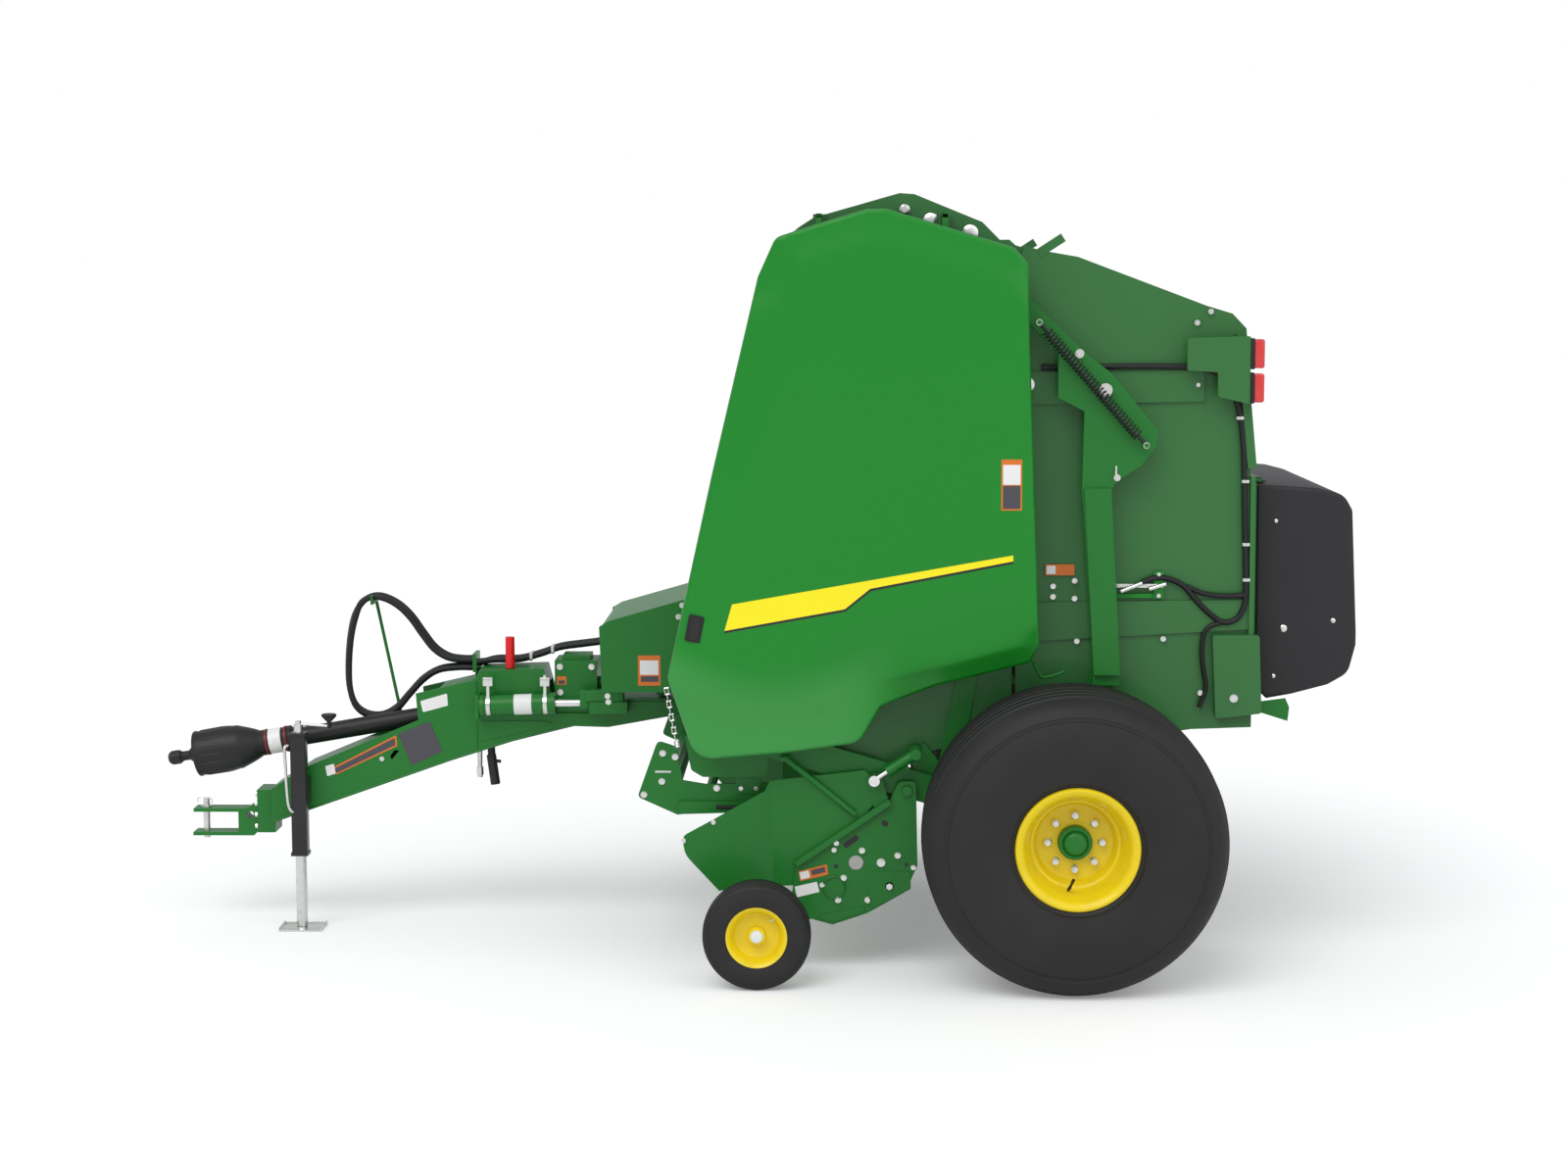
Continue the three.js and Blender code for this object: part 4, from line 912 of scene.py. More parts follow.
def shield_trim(name, sign):
    """The two-tone stripe, a blank label, and the latch with its paddle."""
    on_shield(name, sign, "stripe", STRIPE, FILM_YELLOW)
    on_shield(name, sign, "stripe_shade", STRIPE_SHADE, FILM_BLACK)
    on_shield(name, sign, "label_border", upright_label(-0.271, 1.788, -0.194, 1.978), FILM_ORANGE)
    on_shield(name, sign, "label_white", upright_label(-0.265, 1.884, -0.200, 1.958), FILM_WHITE, FIELD_LIFT)
    on_shield(name, sign, "label_grey", upright_label(-0.265, 1.794, -0.200, 1.880), FILM_GREY, FIELD_LIFT)
    bm = bmesh.new()
    rise = shield_rise(-1.42, 1.35)
    pull = [(-1.436, 1.399, 0.008), (-1.378, 1.388, 0.008), (-1.397, 1.288, 0.008), (-1.455, 1.299, 0.008)]
    sheet(bm, pull, SHIELD_FACE + rise - 0.012, SHIELD_FACE + rise + 0.007, 0.003)
    to_side(bm, sign)
    finished(f"{name}_latch_plate", bm, f"{name}_shield", BLACK_PLASTIC)
    bm = bmesh.new()
    paddle = [(-1.424, 1.386, 0.006), (-1.391, 1.380, 0.006), (-1.407, 1.300, 0.006), (-1.440, 1.306, 0.006)]
    sheet(bm, paddle, SHIELD_FACE + rise + 0.004, SHIELD_FACE + rise + 0.0095, 0.002)
    to_side(bm, sign)
    finished(f"{name}_latch_paddle", bm, f"{name}_shield", BLACK_PAINT)


for name, sign in SIDES:
    shield(name, sign)
    shield_frame(name, sign)
    shield_trim(name, sign)


# ---------- coil springs on the uprights ----------
def coil(bm, start, end, radius, wire, turns, sides=7, per_turn=14):
    """An open coil between two points, swept from a small ring."""
    start, end = Vector(start), Vector(end)
    frame_of = turn_to(end - start).to_3x3()
    run = (end - start).length
    rings = []
    for k in range(turns * per_turn + 1):
        share = k / (turns * per_turn)
        angle = math.tau * turns * share
        out = Vector((math.cos(angle), math.sin(angle), 0))
        middle = out * radius + Vector((0, 0, run * share))
        ring = []
        for n in range(sides):
            lap = math.tau * n / sides
            offset = out * wire * math.cos(lap) + Vector((0, 0, wire * math.sin(lap)))
            ring.append(bm.verts.new(start + frame_of @ (middle + offset)))
        rings.append(ring)
    for low, high in zip(rings, rings[1:]):
        for n in range(sides):
            bm.faces.new((low[n], low[(n + 1) % sides], high[(n + 1) % sides], high[n]))
    bm.faces.new(rings[0])
    bm.faces.new(list(reversed(rings[-1])))


SPRING_Y = 0.930
SPRING_FROM = spot(-0.128, SPRING_Y, 2.484)
SPRING_TO = spot(0.276, SPRING_Y, 2.024)
SPRING_RADIUS = 0.0190
SPRING_WIRE = 0.0036
SPRING_TURNS = 34
SPRING_SHANK = 0.045
UPRIGHT_FACE = 0.893


def tension_spring(name, sign):
    """The coil between its two hooked ends."""
    bm = bmesh.new()
    unit = (SPRING_TO - SPRING_FROM).normalized()
    first, last = SPRING_FROM + unit * SPRING_SHANK, SPRING_TO - unit * SPRING_SHANK
    coil(bm, first, last, SPRING_RADIUS, SPRING_WIRE, SPRING_TURNS)
    for eye, root in ((SPRING_FROM, first), (SPRING_TO, last)):
        rod(bm, eye.lerp(root, 0.30), root.lerp(eye, -0.10), 0.007, 12)
        rod(bm, eye - Vector((0, 0.005, 0)), eye + Vector((0, 0.005, 0)), 0.0120, 24)
    to_side(bm, sign)
    finished(f"{name}_spring_coil", bm, "frame", BLACK_PAINT, [f"{name}_tension_spring"], 40)


def upright_bolts(name, sign):
    """The spring's end bolts, and those of the upright, with its lock pin."""
    bm = bmesh.new()
    outward = (0, 1, 0)
    for eye in (SPRING_FROM, SPRING_TO):
        rod(bm, eye - Vector((0, 0.030, 0)), eye + Vector((0, 0.010, 0)), 0.007, 16)
        hex_bolt(bm, eye + Vector((0, 0.006, 0)), outward, 0.017, 0.008)
    hex_bolt(bm, spot(0.027, UPRIGHT_FACE, 2.366), outward, 0.024)
    hex_bolt(bm, spot(0.124, UPRIGHT_FACE + 0.016, 2.230), outward, 0.036, 0.016)
    hex_bolt(bm, spot(0.172, UPRIGHT_FACE, 1.900), outward, 0.018)
    block(bm, spot(0.163, UPRIGHT_FACE, 1.906), spot(0.171, UPRIGHT_FACE + 0.012, 1.945), 0.002)
    to_side(bm, sign)
    finished(f"{name}_upright_bolts", bm, "frame", ZINC, smooth=30)


for name, sign in SIDES:
    tension_spring(name, sign)
    upright_bolts(name, sign)


# ---------- rams ----------
def ram_pair(name, sign, label, start, end, y, barrel, rod_radius, barrel_length, eye):
    """A cylinder's barrel with its gland and port, and its polished rod."""
    start, end = spot(start[0], y, start[1]), spot(end[0], y, end[1])
    unit = (end - start).normalized()
    across = Vector((0, 1, 0))
    body = f"{name}_{label}"
    bm = bmesh.new()
    rod(bm, start + unit * eye * 0.6, start + unit * (barrel_length - 0.03), barrel * 0.94, 28)
    rod(bm, start + unit * (barrel_length - 0.045), start + unit * barrel_length, barrel, 28)
    rod(bm, start - across * barrel, start + across * barrel, eye, 28)
    port = start + unit * (eye + 0.035)
    outward = Vector((-unit.z, 0, unit.x))
    rod(bm, port, port + outward * (barrel + 0.010), barrel * 0.32, 12)
    to_side(bm, sign)
    finished(f"{body}_barrel", bm, body, GREEN_FRAME, [body])
    bm = bmesh.new()
    rod(bm, start + unit * (barrel_length - 0.05), end - unit * eye * 0.7, rod_radius, 24)
    rod(bm, end - across * barrel, end + across * barrel, eye, 28)
    to_side(bm, sign)
    finished(f"{body}_polished_rod", bm, f"{body}_rod", CHROME, [f"{body}_rod"])


for name, sign in SIDES:
    ram_pair(
        name, sign, "gate_ram", (-0.380, 1.150), (-0.165, 2.250),
        y=0.836, barrel=0.026, rod_radius=0.016, barrel_length=0.980, eye=0.026,
    )
    ram_pair(
        name, sign, "pickup_ram", (-0.584, 0.849), (-0.741, 0.747),
        y=0.908, barrel=0.023, rod_radius=0.012, barrel_length=0.128, eye=0.021,
    )


# ---------- tailgate ----------
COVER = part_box("wrap_cover")


def lamp(name, sign):
    """Two stacked lamps: a dark base and a red lens each."""
    low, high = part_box(f"{name}_rear_lamps")
    middle, gap, inset = (low.z + high.z) / 2, 0.006, 0.004
    y0, y1 = sorted((abs(low.y), abs(high.y)))
    bases, lenses = bmesh.new(), bmesh.new()
    for z0, z1 in ((low.z, middle - gap), (middle + gap, high.z)):
        block(bases, (low.x, y0, z0), (low.x + 0.016, y1, z1), 0.004)
        block(lenses, (low.x + 0.012, y0 + inset, z0 + inset), (high.x, y1 - inset, z1 - inset), 0.009, 4)
    to_side(bases, sign)
    to_side(lenses, sign)
    finished(f"{name}_lamp_bases", bases, "gate", BLACK_PLASTIC)
    finished(f"{name}_lamp_lenses", lenses, "gate", LENS, [f"{name}_rear_lamps"])


for name, sign in SIDES:
    lamp(name, sign)


def cover_moulding():
    """The net roll's cover: a thin moulding, open towards the gate, on its hinge."""
    bm = bmesh.new()
    half = COVER[1].y
    outline = [
        (0.724, 1.862), (0.958, 1.846, 0.030), (1.060, 1.820, 0.070), (1.094, 1.760, 0.040),
        (1.116, 1.290), (1.116, 1.240, 0.030), (1.088, 1.130, 0.070), (1.010, 1.085, 0.040),
        (0.870, 1.048, 0.020), (0.774, 1.031), (0.724, 1.080),
    ]
    sheet(bm, outline, -half, half, 0.016, 4, 7)
    bmesh.ops.recalc_face_normals(bm, faces=bm.faces[:])
    mouth = [f for f in bm.faces if f.normal.x < -0.98]
    bmesh.ops.delete(bm, geom=mouth, context="FACES")
    bmesh.ops.solidify(bm, geom=bm.faces[:], thickness=0.005)
    finished("wrap_cover_moulding", bm, "wrap_cover", CHARCOAL, ["wrap_cover"], recalc=False)
    bm = bmesh.new()
    for y in (-0.619, 0.619):
        rod(bm, spot(0.742, y - 0.020, 1.872), spot(0.742, y + 0.020, 1.872), 0.013, 24)
        block(bm, spot(0.748, y - 0.020, 1.850), spot(0.760, y + 0.020, 1.874), 0.002)
    block(bm, spot(0.748, -0.60, 1.8635), spot(0.775, 0.60, 1.8685), 0.002)
    for y in (-0.45, 0.45):
        block(bm, spot(1.117, y - 0.045, 1.34), spot(1.124, y + 0.045, 1.36), 0.003)
    finished("wrap_cover_hinge", bm, "wrap_cover", BLACK_PAINT, smooth=30)
    bm = bmesh.new()
    screws = [(0.835, 1.305, 0.015), (1.025, 1.335, 0.010), (0.80, 1.72, 0.008), (0.80, 1.12, 0.008)]
    for side in (1, -1):
        for x, z, radius in screws:
            dome(bm, spot(x, side * (half - 0.001), z), (0, side, 0), radius, 0.5)
    finished("wrap_cover_screws", bm, "wrap_cover", ZINC, smooth=30)


cover_moulding()


# ---------- belts and rollers ----------
BELT_COUNT = 6
BELT_PITCH = 0.250
BELT_WIDTH = 0.228
BELT_THICK = 0.007
FRONT_ROLLERS = [(-0.628, 2.905, 0.050), (-0.332, 2.755, 0.045), (-0.640, 1.010, 0.055)]
FRONT_ROLLERS += [(-1.320, 1.260, 0.050), (-1.000, 2.765, 0.050)]
GATE_ROLLERS = [(-0.105, 2.650, 0.045), (0.560, 2.425, 0.050), (0.590, 1.085, 0.050), (-0.070, 0.970, 0.055)]
LACING_TEETH = 22
DRUM_END = 0.762
JOURNAL_END = 0.786


def belt_line(rollers, outside):
    """A tight loop round rollers given clockwise, at a distance outside their drums."""
    points = []
    for i, (x, z, radius) in enumerate(rollers):
        turns = []
        for start, end in ((rollers[i - 1], rollers[i]), (rollers[i], rollers[(i + 1) % len(rollers)])):
            run = Vector((end[0] - start[0], end[1] - start[1]))
            slope = math.asin((start[2] - end[2]) / run.length)
            turns.append(math.atan2(run.y, run.x) + math.pi / 2 - slope)
        sweep = (turns[0] - turns[1]) % math.tau
        steps = max(2, round(sweep / 0.16))
        for k in range(steps + 1):
            angle = turns[0] - sweep * k / steps
            reach = radius + outside
            points.append((x + reach * math.cos(angle), z + reach * math.sin(angle)))
    return points


def belts(label, rollers, body, node):
    """A set of belts round their rollers, each with its steel lacing on the longest straight run."""
    line = belt_line(rollers, BELT_THICK)
    edges_at = [(i - BELT_COUNT / 2) * BELT_PITCH + (BELT_PITCH - BELT_WIDTH) / 2 for i in range(BELT_COUNT)]
    bm = bmesh.new()
    for y in edges_at:
        ring = [bm.verts.new(spot(x, y, z)) for x, z in line]
        edges = [bm.edges.new((ring[k - 1], ring[k])) for k in range(len(ring))]
        made = bmesh.ops.extrude_edge_only(bm, edges=edges)["geom"]
        far_edge = [v for v in made if isinstance(v, bmesh.types.BMVert)]
        bmesh.ops.translate(bm, vec=(0, BELT_WIDTH, 0), verts=far_edge)
    bmesh.ops.recalc_face_normals(bm, faces=bm.faces[:])
    middle = sum((Vector(point) for point in line), Vector((0, 0))) / len(line)
    centre = spot(middle.x, 0, middle.y)
    if sum(f.normal.dot(f.calc_center_median() - centre) for f in bm.faces) < 0:
        bmesh.ops.reverse_faces(bm, faces=bm.faces[:])
    bmesh.ops.solidify(bm, geom=bm.faces[:], thickness=BELT_THICK * 0.8)
    finished(f"{label}_belting", bm, body, BELT, [node], recalc=False)
    runs = [(Vector(a), Vector(b)) for a, b in zip([line[-1], *line[:-1]], line)]
    start, end = max(runs, key=lambda run: (run[1] - run[0]).length)
    tooth = (end - start).normalized() * 0.022
    bm = bmesh.new()
    for i, y in enumerate(edges_at):
        seam = start.lerp(end, 0.22 + 0.09 * (i % 3))
        low, high = seam - tooth, seam + tooth
        for k in range(1, LACING_TEETH + 1):
            across = y + k * BELT_WIDTH / (LACING_TEETH + 1)
            rod(bm, spot(low.x, across, low.y), spot(high.x, across, high.y), 0.0022, 6)
    finished(f"{label}_belt_lacing", bm, body, ZINC, smooth=30)
    bm = bmesh.new()
    for x, z, radius in rollers:
        half_drum = [(radius, DRUM_END - 0.005), (radius * 0.55, DRUM_END), (0, DRUM_END)]
        spun(bm, [(r, -y) for r, y in reversed(half_drum)] + half_drum, spot(x, 0, z), (0, 1, 0), 32)
        rod(bm, spot(x, -JOURNAL_END, z), spot(x, JOURNAL_END, z), 0.022, 16)
    finished(f"{label}_rollers", bm, body, GREEN_FRAME)


belts("front", FRONT_ROLLERS, "frame", "front_belts")
belts("gate", GATE_ROLLERS, "gate", "gate_belts")


# ---------- drive shaft ----------
SHAFT_SLOPE = math.atan2(0.265, 1.560)
SHAFT_WAY = Vector((math.cos(SHAFT_SLOPE), 0, math.sin(SHAFT_SLOPE)))
SHAFT_TIP = spot(-3.659 + 0.020 * math.sin(SHAFT_SLOPE), 0, 0.672)
GUARD_END = (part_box("drive_guard")[1].x - SHAFT_TIP.x) / SHAFT_WAY.x - 0.006


def by_shaft(turn, radius, along):
    """A place at a share of a turn round the shaft, so far from its axis and from its tip."""
    angle = math.tau * turn
    out = turn_to(SHAFT_WAY).to_3x3() @ Vector((math.cos(angle), math.sin(angle), 0))
    return SHAFT_TIP + out * radius + SHAFT_WAY * along


def shaft_yoke():
    """The splined quick coupling that fits the tractor."""
    bm = bmesh.new()
    yoke = [(0, 0.000), (0.017, 0.000), (0.021, 0.003), (0.027, 0.010), (0.0275, 0.050), (0.022, 0.056)]
    yoke += [(0.020, 0.062), (0.020, 0.088), (0.027, 0.094), (0.030, 0.104), (0.030, 0.160), (0.016, 0.170)]
    yoke += [(0.016, 0.300), (0, 0.300)]
    spun(bm, yoke, SHAFT_TIP, SHAFT_WAY, 40)
    for k in range(10):
        rod(bm, by_shaft(k / 10, 0.0272, 0.014), by_shaft(k / 10, 0.0272, 0.046), 0.0022, 8)
    finished("shaft_yoke", bm, "drive_yoke", BLACK_PLASTIC, ["drive_yoke"])


def shaft_guard():
    """The plastic bell and tube over the shaft: its outside to the far end, then its inside back."""
    bm = bmesh.new()
    bell = [(0.088, 0.122), (0.093, 0.120), (0.0955, 0.126), (0.092, 0.132), (0.094, 0.190), (0.0955, 0.250)]
    bell += [(0.0945, 0.262), (0.090, 0.290), (0.0905, 0.300), (0.084, 0.318), (0.074, 0.346), (0.066, 0.366)]
    collar = [(0.058, 0.384), (0.053, 0.392), (0.053, 0.408), (0.0505, 0.412), (0.0505, 0.506)]
    collar += [(0.053, 0.510), (0.053, 0.524), (0.044, 0.532), (0.038, 0.540)]
    end = [(0.037, GUARD_END - 0.05), (0.0375, GUARD_END - 0.04), (0.0375, GUARD_END), (0.030, GUARD_END)]
    inside = [(0.030, 0.540), (0.045, 0.400), (0.070, 0.330), (0.086, 0.280), (0.088, 0.250)]
    spun(bm, closed(bell + collar + end + inside), SHAFT_TIP, SHAFT_WAY, 56)
    for k in range(16):
        rod(bm, by_shaft(k / 16, 0.093, 0.150), by_shaft(k / 16, 0.0945, 0.244), 0.0028, 6)
    finished("shaft_guard", bm, "frame", BLACK_PLASTIC, ["drive_guard"])


def shaft_collar():
    """Two red rings and a blank band between them."""
    bm = bmesh.new()
    for start in (0.414, 0.496):
        ring = [(0.0500, start), (0.0545, start), (0.0545, start + 0.010), (0.0500, start + 0.010)]
        spun(bm, closed(ring), SHAFT_TIP, SHAFT_WAY, 40)
    finished("shaft_rings", bm, "frame", SHAFT_RED)
    bm = bmesh.new()
    band = [(0.0500, 0.430), (0.0522, 0.430), (0.0522, 0.482), (0.0500, 0.482)]
    spun(bm, closed(band), SHAFT_TIP, SHAFT_WAY, 40)
    finished("shaft_band", bm, "frame", FILM_WHITE)


shaft_yoke()
shaft_guard()
shaft_collar()


# ---------- jack ----------
JACK_TOP = 0.812
JACK_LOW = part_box("jack_tube")[0].z
JACK_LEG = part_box("jack_leg")
JACK_X = -3.080
JACK_Y = -0.182
JACK_HALF = 0.031
JACK_WALL = 0.0055


def at_jack(x, y, z):
    return spot(JACK_X + x, JACK_Y + y, z)


def jack_foot():
    """The sliding leg on its plate, whose front and rear edges are turned up."""
    bm = bmesh.new()
    low, high = JACK_LEG
    rod(bm, at_jack(0, 0, 0.010), at_jack(0, 0, high.z), 0.0225, 32)
    block(bm, (low.x, low.y, 0), (high.x, high.y, 0.008), 0.003)
    for x0, x1 in ((low.x, low.x + 0.004), (high.x - 0.004, high.x)):
        block(bm, (x0, low.y + 0.004, 0.004), (x1, high.y - 0.004, 0.014), 0.001)
    finished("jack_foot", bm, "jack_leg", ZINC, ["jack_leg"])


def jack_crank():
    bm = bmesh.new()
    rod(bm, at_jack(0, 0, JACK_TOP - 0.010), at_jack(0, 0, JACK_TOP + 0.034), 0.019, 20)
    rod(bm, at_jack(0, 0, JACK_TOP + 0.030), at_jack(0, 0, JACK_TOP + 0.048), 0.012, 20)
    rod(bm, at_jack(0, 0, JACK_TOP + 0.034), at_jack(0.130, 0, JACK_TOP + 0.026), 0.006, 12)
    finished("jack_crank", bm, "frame", ZINC)
    bm = bmesh.new()
    foot = at_jack(0.126, 0, JACK_TOP + 0.018)
    rod(bm, foot, foot + Vector((0, 0, 0.030)), 0.009, 16)
    knob = [(0, 0.026), (0.012, 0.028), (0.030, 0.048), (0.032, 0.054), (0.028, 0.058), (0, 0.060)]
    spun(bm, knob, foot, (0, 0, 1), 28)
    finished("jack_knob", bm, "frame", BLACK_PLASTIC)


def jack_lock_handle():
    """A bent bar clipped along the tube's front."""
    line = [(-0.040, -0.020, 0.760), (-0.052, -0.030, 0.752), (-0.050, -0.036, 0.700)]
    line += [(-0.046, -0.036, 0.600), (-0.040, -0.036, 0.520), (-0.028, -0.030, 0.492)]
    line += [(-0.016, -0.020, 0.488)]
    handle = tube("jack_lock_handle", smooth_route([at_jack(*point) for point in line], 5), 0.0065, 12)
    handle.data.materials.append(ZINC)
    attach(handle, "frame")


def jack_housing():
    """The square tube with its lid, its lower ring and the block that holds it to the tongue."""
    bm = bmesh.new()
    to_corner = math.sqrt(2)
    inner = JACK_HALF - JACK_WALL
    upper = JACK_TOP - 0.012
    wall = [(JACK_HALF, JACK_LOW), (JACK_HALF, upper), (inner, upper), (inner, JACK_LOW)]
    quarter = Matrix.Translation(at_jack(0, 0, 0)) @ Matrix.Rotation(math.pi / 4, 4, "Z")
    spun(bm, closed([(radius * to_corner, z) for radius, z in wall]), (0, 0, 0), (0, 0, 1), 4, quarter)
    middle_x = at_jack(0, 0, 0).x
    outside = [e for e in bm.edges if all(abs(v.co.x - middle_x) > JACK_HALF - 0.001 for v in e.verts)]
    round_off(bm, [e for e in outside if e.calc_length() > 0.4], 0.004, 3)
    block(bm, at_jack(-0.034, -0.034, JACK_TOP - 0.014), at_jack(0.034, 0.034, JACK_TOP), 0.004)
    ring_top = JACK_LOW + 0.014
    ring = [(0.0345, JACK_LOW), (0.0345, ring_top), (0.0305, ring_top), (0.0305, JACK_LOW)]
    spun(bm, closed([(radius * to_corner, z) for radius, z in ring]), (0, 0, 0), (0, 0, 1), 4, quarter)
    block(bm, spot(JACK_X - 0.034, JACK_Y + 0.029, 0.510), spot(JACK_X + 0.034, -0.1105, 0.620), 0.004)
    finished("jack_housing", bm, "frame", BLACK_PAINT, ["jack_tube"])


jack_foot()
jack_crank()
jack_lock_handle()
jack_housing()


# ---------- small parts ----------
LEFT = SIDES[:1]


def on_both_sides(shape, body, material):
    """A piece on each side, named after the function that shapes it at positive y."""
    for side, sign in SIDES:
        bm = bmesh.new()
        shape(bm)
        to_side(bm, sign)
        finished(f"{side}_{shape.__name__}", bm, body, material)


def label(name, body, corners, radius, y, material, sides=LEFT, lift=0.0012):
    """A thin blank label on an upright face, with all its corners rounded alike."""
    for side, sign in sides:
        bm = bmesh.new()
        sheet(bm, [(x, z, radius) for x, z in corners], y - 0.0004, y + lift, steps=3)
        to_side(bm, sign)
        finished(f"{side}_{name}", bm, body, material, smooth=40)


def bolt_set(name, body, places, y, across=0.022, height=0.009):
    """Zinc bolts on an upright face, on both sides."""
    for side, sign in SIDES:
        bm = bmesh.new()
        for x, z in places:
            hex_bolt(bm, spot(x, y, z), (0, 1, 0), across, height)
        to_side(bm, sign)
        finished(f"{side}_{name}", bm, body, ZINC)


def strip(name, body, line, radius, material, sides=SIDES, around=10):
    """A round bar or hose along a smooth line, on each side asked for."""
    for side, sign in sides:
        way = smooth_route([spot(x, y * sign, z) for x, y, z in line], 5)
        piece = tube(f"{side}_{name}", way, radius, around)
        piece.data.materials.append(material)
        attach(piece, body)


# ---------- hitch and tongue ----------
TONGUE = 0.110
TONGUE_DEPTH = 0.002
HITCH_X = -3.505
FLANGE_X = -3.2790


def hitch_pin():
    """The pin through the jaws with its collar and wire clip, and the bolts of the flange behind it."""
    bm = bmesh.new()
    rod(bm, spot(HITCH_X, 0, 0.3415), spot(HITCH_X, 0, 0.5030), 0.0140, 24)
    rod(bm, spot(HITCH_X, 0, 0.470), spot(HITCH_X, 0, 0.4765), 0.024, 24)
    rod(bm, spot(HITCH_X, -0.022, 0.492), spot(HITCH_X, 0.022, 0.492), 0.004, 10)
    finished("hitch_pin", bm, "frame", ZINC)
    loop = [(-0.030, 0.492), (-0.032, 0.506), (-0.018, 0.513), (0.016, 0.511), (0.028, 0.500), (0.026, 0.486)]
    strip("pin_clip", "frame", [(HITCH_X + x, 0.020, z) for x, z in loop], 0.0022, ZINC, LEFT, 8)
    bm = bmesh.new()
    for side in (-1, 1):
        for z in (0.400, 0.448, 0.494, 0.535):
            hex_bolt(bm, spot(FLANGE_X, side * 0.056, z), (-1, 0, 0), 0.018, 0.008)
    finished("flange_bolts", bm, "frame", ZINC)


def tongue_labels():
    border = [(-2.952, 0.656), (-2.692, 0.789), (-2.688, 0.744), (-2.944, 0.624)]
    field = [(-2.946, 0.651), (-2.698, 0.778), (-2.696, 0.748), (-2.941, 0.631)]
    square = [(-2.986, 0.660), (-2.950, 0.670), (-2.944, 0.629), (-2.979, 0.618)]
    plaque = [(-2.684, 0.794), (-2.552, 0.845), (-2.503, 0.723), (-2.630, 0.664)]
    notice = [(-2.590, 0.930), (-2.480, 0.962), (-2.477, 0.912), (-2.580, 0.884)]
    # Black film over the tongue's slot: painted shade of its dark inside.
    slot = [(-2.714, 0.694), (-2.684, 0.726), (-2.680, 0.726), (-2.712, 0.690)]
    label("tongue_label_border", "frame", border, 0.004, TONGUE, FILM_ORANGE)
    label("tongue_label_field", "frame", field, 0.002, TONGUE, FILM_GREY, lift=0.0018)
    label("tongue_label_square", "frame", square, 0.003, TONGUE, FILM_WHITE, lift=0.0022)
    label("tongue_plaque", "frame", plaque, 0.004, TONGUE, FILM_GREY, lift=0.0020)
    label("tongue_notice", "frame", notice, 0.004, TONGUE, FILM_WHITE)
    label("tongue_slot_shade", "frame", slot, 0.009, TONGUE, FILM_BLACK)


def gearbox_trim():
    face = 0.092
    border = [(-2.030, 1.030), (-1.992, 1.030), (-1.992, 0.996), (-2.030, 0.996)]
    field = [(-2.024, 1.014), (-1.998, 1.014), (-1.998, 1.000), (-2.024, 1.000)]
    label("gearbox_label", "frame", border, 0.002, face, FILM_ORANGE)
    label("gearbox_label_field", "frame", field, 0, face, FILM_GREY, lift=0.0018)
    corners = [(x, z) for z in (1.070, 0.965) for x in (-2.018, -1.888)]
    bolt_set("gearbox_bolts", "frame", corners, face, 0.018)


hitch_pin()
tongue_labels()
gearbox_trim()
bolt_set("tongue_bolts", "frame", [(-2.752, 0.691)], TONGUE, 0.014, 0.004)


def tongue_seams():
    """Weld seams and the folded plates along the tongue's sides."""
    bm = bmesh.new()
    low = [(-3.200, 0.432), (-2.465, 0.690), (-2.212, 0.770), (-1.960, 0.833)]
    for first, last in zip(low, low[1:]):
        rod(bm, spot(first[0], TONGUE, first[1]), spot(last[0], TONGUE, last[1]), 0.004, 8)
    rod(bm, spot(-2.360, TONGUE, 0.735), spot(-2.360, TONGUE, 1.010), 0.0035, 8)
    back = TONGUE - TONGUE_DEPTH
    gusset = [(-2.352, 0.850, 0.02), (-2.090, 0.850, 0.02), (-2.050, 0.838), (-2.215, 0.790, 0.01)]
    sheet(bm, [*gusset, (-2.352, 0.765)], back, TONGUE + 0.004, 0.001, 1)
    cheek = [(-1.820, 0.930, 0.006), (-1.450, 0.930, 0.006), (-1.450, 0.892), (-1.560, 0.872)]
    sheet(bm, [*cheek, (-1.820, 0.850)], back, TONGUE + 0.005, 0.001, 1)
    copy = bmesh.ops.duplicate(bm, geom=bm.verts[:] + bm.edges[:] + bm.faces[:])["geom"]
    bmesh.ops.scale(bm, vec=(1, -1, 1), verts=[v for v in copy if isinstance(v, bmesh.types.BMVert)])
    finished("tongue_seams", bm, "frame", GREEN_FRAME)


